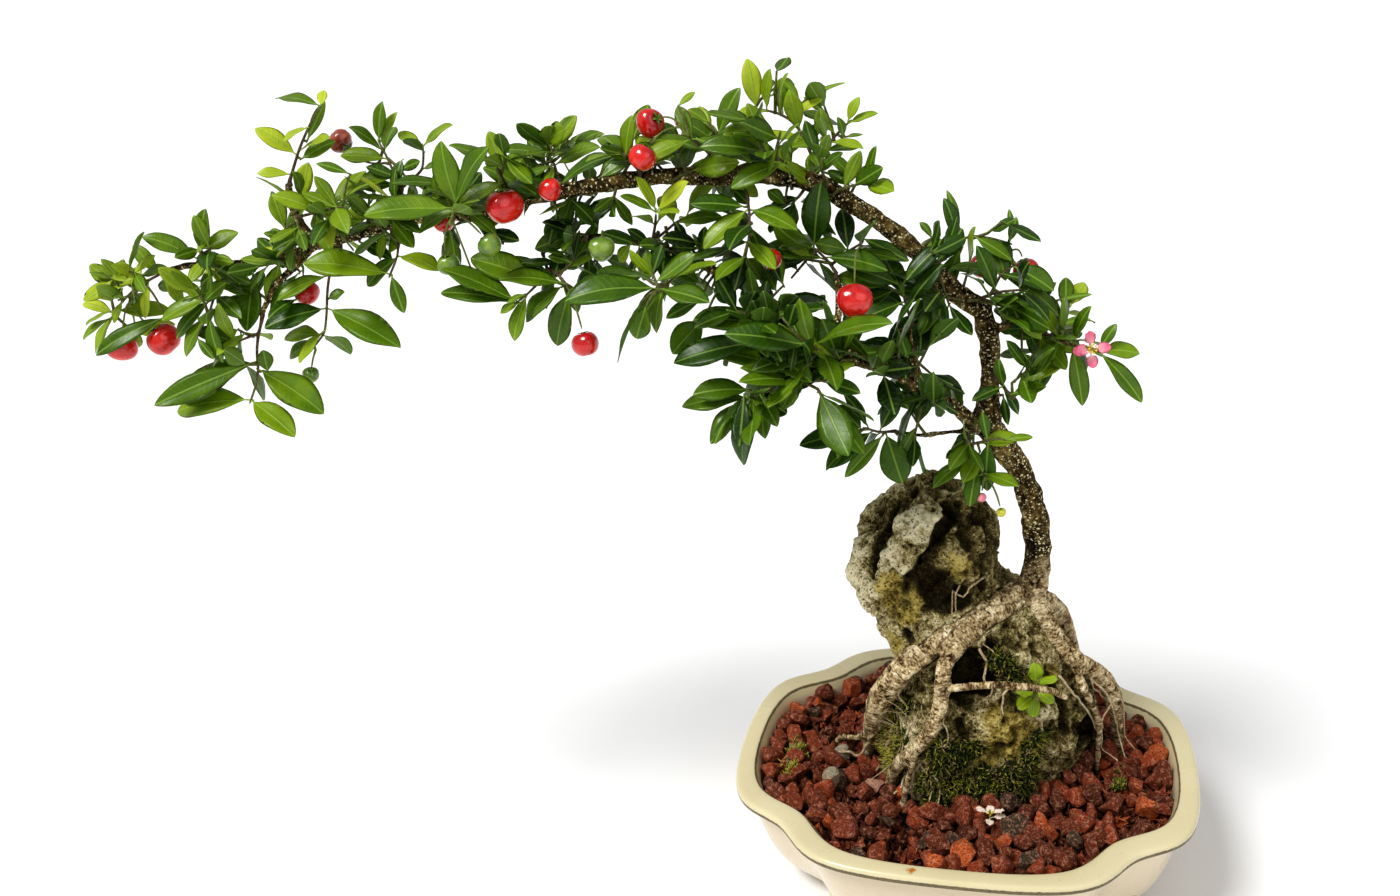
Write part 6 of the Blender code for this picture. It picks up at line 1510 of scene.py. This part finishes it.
class Canopy:
    """Points on all the leaves and fruit so far, which new leaves keep clear of."""

    def __init__(self, samples, eye, shown):
        """Shown rows are centres and radii of wood and fruit that the eye sees."""
        self.points = np.concatenate(samples)
        self.eye = eye
        self.shown = shown[:, :3]
        self.away = np.linalg.norm(self.shown - eye, axis=1)
        self.spread = (shown[:, 3] + 1.5) / self.away

    def hides(self, leaf):
        """Whether a leaf would stand between the eye and what it should see."""
        samples = leaf.samples()
        spots = seen_at(samples)[0][:, None] - [place[:2] for place in OPEN]
        if (np.hypot(spots[..., 0], spots[..., 1]) < [place[2] for place in OPEN]).any():
            return True
        near = np.linalg.norm(samples - self.eye, axis=1)[:, None]
        apart = np.linalg.norm(unit(samples - self.eye)[:, None] - unit(self.shown - self.eye)[None], axis=2)
        return bool(((apart < self.spread) & (near < self.away + 6.0)).any())

    def room(self, leaf):
        """How far the nearest leaf or fruit is, and nothing outside the model's box."""
        if (leaf.base + leaf.along < LOW).any() or (leaf.base + leaf.along > HIGH).any():
            return 0.0
        gap = leaf.samples()[:, None] - self.points[None]
        return math.sqrt(float((gap ** 2).sum(-1).min()))

    def add(self, leaf):
        self.points = np.vstack([self.points, leaf.samples()])


LEAF_GAP = 2.3


def shoot_leaf(draw, base, way, length):
    """A leaf that leaves its stem at base in about that direction, face up and towards the viewer."""
    ahead = unit(way + 0.32 * draw.normal(size=3) + (0.0, 0.0, -0.12))
    normal = unit(np.array([0.0, -0.45, 0.8]) + 0.4 * draw.normal(size=3))
    return Leaf(base, base + ahead * length, normal, 0.5 * length * draw.uniform(0.40, 0.52),
                draw.uniform(-0.05, 0.06) * length)


def grow_shoot(heap, draw, canopy, start, way, sizes, tone, age):
    """A short stem with leaves in pairs and one or two at its end, unless there is no room for it."""
    length = draw.uniform(9.0, 24.0)
    bend = unit(way + 0.45 * draw.normal(size=3))
    line = np.array([start - way * 1.5, start + way * 0.35 * length, start + (way + bend) * 0.5 * length])
    side = unit(np.cross(way, draw.normal(size=3)))
    grown = []
    for station in (0.45, 0.75, 1.0):
        spot = start + (way * (1.0 - 0.5 * station) + bend * 0.5 * station) * length * station
        for turn in (-1.0, 1.0):
            for _ in range(5):
                aim = unit(side * turn + way * (0.5 + 0.9 * station) + 0.25 * draw.normal(size=3))
                leaf = shoot_leaf(draw, spot, aim, draw.uniform(*sizes))
                if canopy.room(leaf) > LEAF_GAP and not canopy.hides(leaf):
                    grown.append(leaf)
                    canopy.add(leaf)
                    break
        side = unit(np.cross(way, side))
    if len(grown) < 2:
        return False
    for leaf in grown:
        grow_blade(heap, leaf, draw, float(np.clip(tone + draw.normal(0.0, 0.16), 0.03, 0.97)), few=True)
    grow_tube(heap, line, [1.0, 0.85, 0.6], 7, 2, age * STEM_VALUE)
    return True


def place_leaves(heap, anchors, canopy):
    """The single leaves, each on a stalk of its own from the nearest wood that it is seen beside."""
    draw = np.random.default_rng(55)
    spots, depths = seen_at(anchors)
    for across, down, tip_across, tip_down, width, tone in PLACED:
        apart = np.hypot(spots[:, 0] - across, spots[:, 1] - down)
        near = int(np.argmin(apart))
        scale = depths[near] / FOCUS
        foot = sight(across, down, depths[near])
        length = scale * math.hypot(tip_across - across, tip_down - down)
        options = []
        for lean in (0.1, 0.3, -0.1, 0.5, -0.3, 0.75, -0.55, 1.0):
            tip = sight(tip_across, tip_down, depths[near] - lean * length)
            face = unit(0.6 * unit(EYE - foot) + 0.5 * UP + 0.22 * draw.normal(size=3))
            leaf = Leaf(foot, tip, face, 0.53 * width * scale, draw.uniform(0.02, 0.1) * length)
            options.append((min(canopy.room(leaf), 3.0) - 0.8 * abs(lean), leaf))
        leaf = max(options, key=lambda option: option[0])[1]
        canopy.add(leaf)
        grow_blade(heap, leaf, draw, tone)
        stalk = smooth_line([anchors[near], 0.5 * (anchors[near] + foot) + UP * 0.1 * apart[near] * scale, foot,
                             foot + leaf.ahead * 1.5], 2.5)
        grow_tube(heap, stalk, np.linspace(0.85, 0.55, len(stalk)), 6, 2, (0.3 + 0.5 * tone) * STEM_VALUE)


def make_thickets(looks, stems, branches, canopy):
    """Single leaves where they are seen, and short shoots on twigs and branches where the crown is dense."""
    draw = np.random.default_rng(77)
    heaps = {name: Heap() for name in ("shoots_left", "shoots_middle", "shoots_right", "single_leaves")}
    place_leaves(heaps["single_leaves"], np.concatenate([stems, branches]), canopy)
    anchors = np.concatenate([stems, branches]) - POT
    for across, high, number, sizes, tone in THICKETS:
        inside = ((anchors[:, 0] > across[0]) & (anchors[:, 0] < across[1])
                  & (anchors[:, 2] > high[0]) & (anchors[:, 2] < high[1]))
        near = anchors[inside]
        heap = heaps["shoots_" + ("left" if across[0] < -290 else "middle" if across[0] < -60 else "right")]
        done = 0
        for _ in range(6 * number):
            if done == number:
                break
            start = near[draw.integers(len(near))]
            target = np.array([draw.uniform(*across), start[1] + draw.normal(0.0, 14.0), draw.uniform(*high)])
            way = unit(unit(target - start) + 0.35 * draw.normal(size=3) + (0.0, -0.1, 0.1))
            done += grow_shoot(heap, draw, canopy, start + POT, way, sizes, tone, 0.25 + 0.6 * tone)
    for name, heap in heaps.items():
        heap.settle(name, looks, "leaf_green")


# Camera, light and floor

def make_camera():
    camera = bpy.data.cameras.new("camera")
    camera.lens = LENS
    camera.sensor_width = SENSOR
    camera.clip_start = 0.01
    made = bpy.data.objects.new("camera", camera)
    made.matrix_world = Matrix.Translation(Vector(EYE * MM)) @ VIEW.to_4x4()
    bpy.context.scene.collection.objects.link(made)
    bpy.context.scene.camera = made


def make_sun(name, place, power, spread):
    """A broad, soft, even light from far away in the direction of place."""
    lamp = bpy.data.lights.new(name, "SUN")
    lamp.energy = power
    lamp.angle = math.radians(spread)
    made = bpy.data.objects.new(name, lamp)
    made.rotation_euler = Vector(place).to_track_quat("Z", "Y").to_euler()
    bpy.context.scene.collection.objects.link(made)


def make_studio():
    """A white floor and ground, a key light from the left, a weak fill and a soft sky."""
    floor = Look("floor", Specular_IOR_Level=0.2)
    cloud = floor.noise(400.0, 2.0)
    white = floor.done(floor.ramp(cloud, (0.3, (0.90, 0.90, 0.90)), (0.7, (0.92, 0.92, 0.92))), 0.9)
    half = 40000.0
    corners = [(-half, -half, -0.02), (half, -half, -0.02), (half, half, -0.02), (-half, half, -0.02)]
    make_piece("floor", corners, [(0, 1, 2, 3)], [white])
    world = bpy.data.worlds.new("studio")
    world.use_nodes = True
    nodes = world.node_tree.nodes
    links = world.node_tree.links
    sky = nodes["Background"]
    sky.inputs["Strength"].default_value = 0.40
    backdrop = nodes.new("ShaderNodeBackground")
    for light in (sky, backdrop):
        light.inputs["Color"].default_value = (1.0, 1.0, 1.0, 1.0)
    either = nodes.new("ShaderNodeMixShader")
    links.new(nodes.new("ShaderNodeLightPath").outputs["Is Camera Ray"], either.inputs[0])
    links.new(sky.outputs[0], either.inputs[1])
    links.new(backdrop.outputs[0], either.inputs[2])
    links.new(either.outputs[0], nodes["World Output"].inputs["Surface"])
    bpy.context.scene.world = world
    make_sun("key", (-0.75, -0.75, 1.5), 2.25, 22.0)
    make_sun("fill", (1.0, -0.9, 0.9), 0.5, 50.0)
    bpy.context.scene.view_settings.view_transform = "Standard"
    bpy.context.scene.view_settings.look = "Medium High Contrast"


make_camera()
make_studio()
carriers = {name: surface(welded(name)) for name in NODES if name.startswith(("spray_", "tree"))}
wood = carriers["tree"]
leaf_looks = [leaf_top_look(), leaf_back_look(), twig_look()]
leaves = []
stems = []
for spray in nodes_of("spray_"):
    blades, stem = dress_spray(spray, leaf_looks, wood, carriers)
    leaves += blades
    stems.append(stem)
fruit_bodies = {
    "cherry_red": fruit_look("cherry_red_skin", *REDS),
    "cherry_brown": fruit_look("cherry_brown_skin", *BROWNS, 0.3),
    "cherry_green": fruit_look("cherry_green_skin", *GREENS, 0.24),
    "petal_pink": fruit_look("bud_pink_skin", *PINKS, 0.45),
    "stamen_yellow": fruit_look("bud_yellow_skin", *YELLOWS, 0.45)}
for name in nodes_of("cherry_", "fruit_", "bud_"):
    dress_fruit(name, leaf_looks, fruit_bodies[SLOTS[name]], carriers)
pink = petal_look("petals_pink", (0.86, 0.42, 0.46), (0.74, 0.15, 0.26), (0.55, 0.05, 0.15))
pale = petal_look("petals_pale", (0.86, 0.78, 0.62), (0.86, 0.66, 0.60), (0.55, 0.36, 0.22))
yellow = stamen_look()
make_flower(leaf_looks, pink, yellow, carriers)
make_fallen_flower(leaf_looks, pale, yellow)
carriers["rock"] = surface(welded("rock"))
make_seedling(leaf_looks, carriers)
branches = make_tree(bark_look())

# The leaves and fruit that new leaves keep clear of, and the wood and fruit that they don't hide
samples = [leaf.samples() for leaf in leaves]
samples += [0.5 * welded(n)[0] + 0.5 * welded(n)[0].mean(axis=0) for n in nodes_of("cherry_")]
samples += [welded(n)[0] for n in nodes_of("cherry_", "fruit_", "flower_p")]
shown = smooth_line(TRUNK, 6.0) + (*POT, 0.0)
shown = shown[(shown[:, 0] > POT[0] - 72.0) | (abs(shown[:, 0] - POT[0] + 170.0) < 30.0)]
for name in nodes_of("cherry_", "fruit_", "flower_petals", "bud_"):
    low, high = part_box(name)
    shown = np.vstack([shown, (*middle_of(name), 0.35 * np.subtract(high, low).max() / MM)])
make_thickets(leaf_looks, np.concatenate(stems), branches, Canopy(samples, EYE, shown))

rock_points, rock_faces, rock_moss = make_rock(rock_look(), wood)
make_pot(glaze_look())
stones = surface(make_gravel(gravel_look(), surface(welded("tree"), welded("rock"))))
make_moss(moss_look(), rock_points, rock_faces, rock_moss, stones)
ground = [bpy.data.objects[name].data for name in ("tree_bark", "rock_face", "gravel_left", "gravel_right")]
parts = [(read_points(mesh) / MM, [list(face.vertices) for face in mesh.polygons]) for mesh in ground]
make_rootlets(rootlet_look(), surface(*parts))
NODES["soil"].data.materials[0] = soil_look()
NODES["drain_mesh"].data.materials[0] = plastic_look()
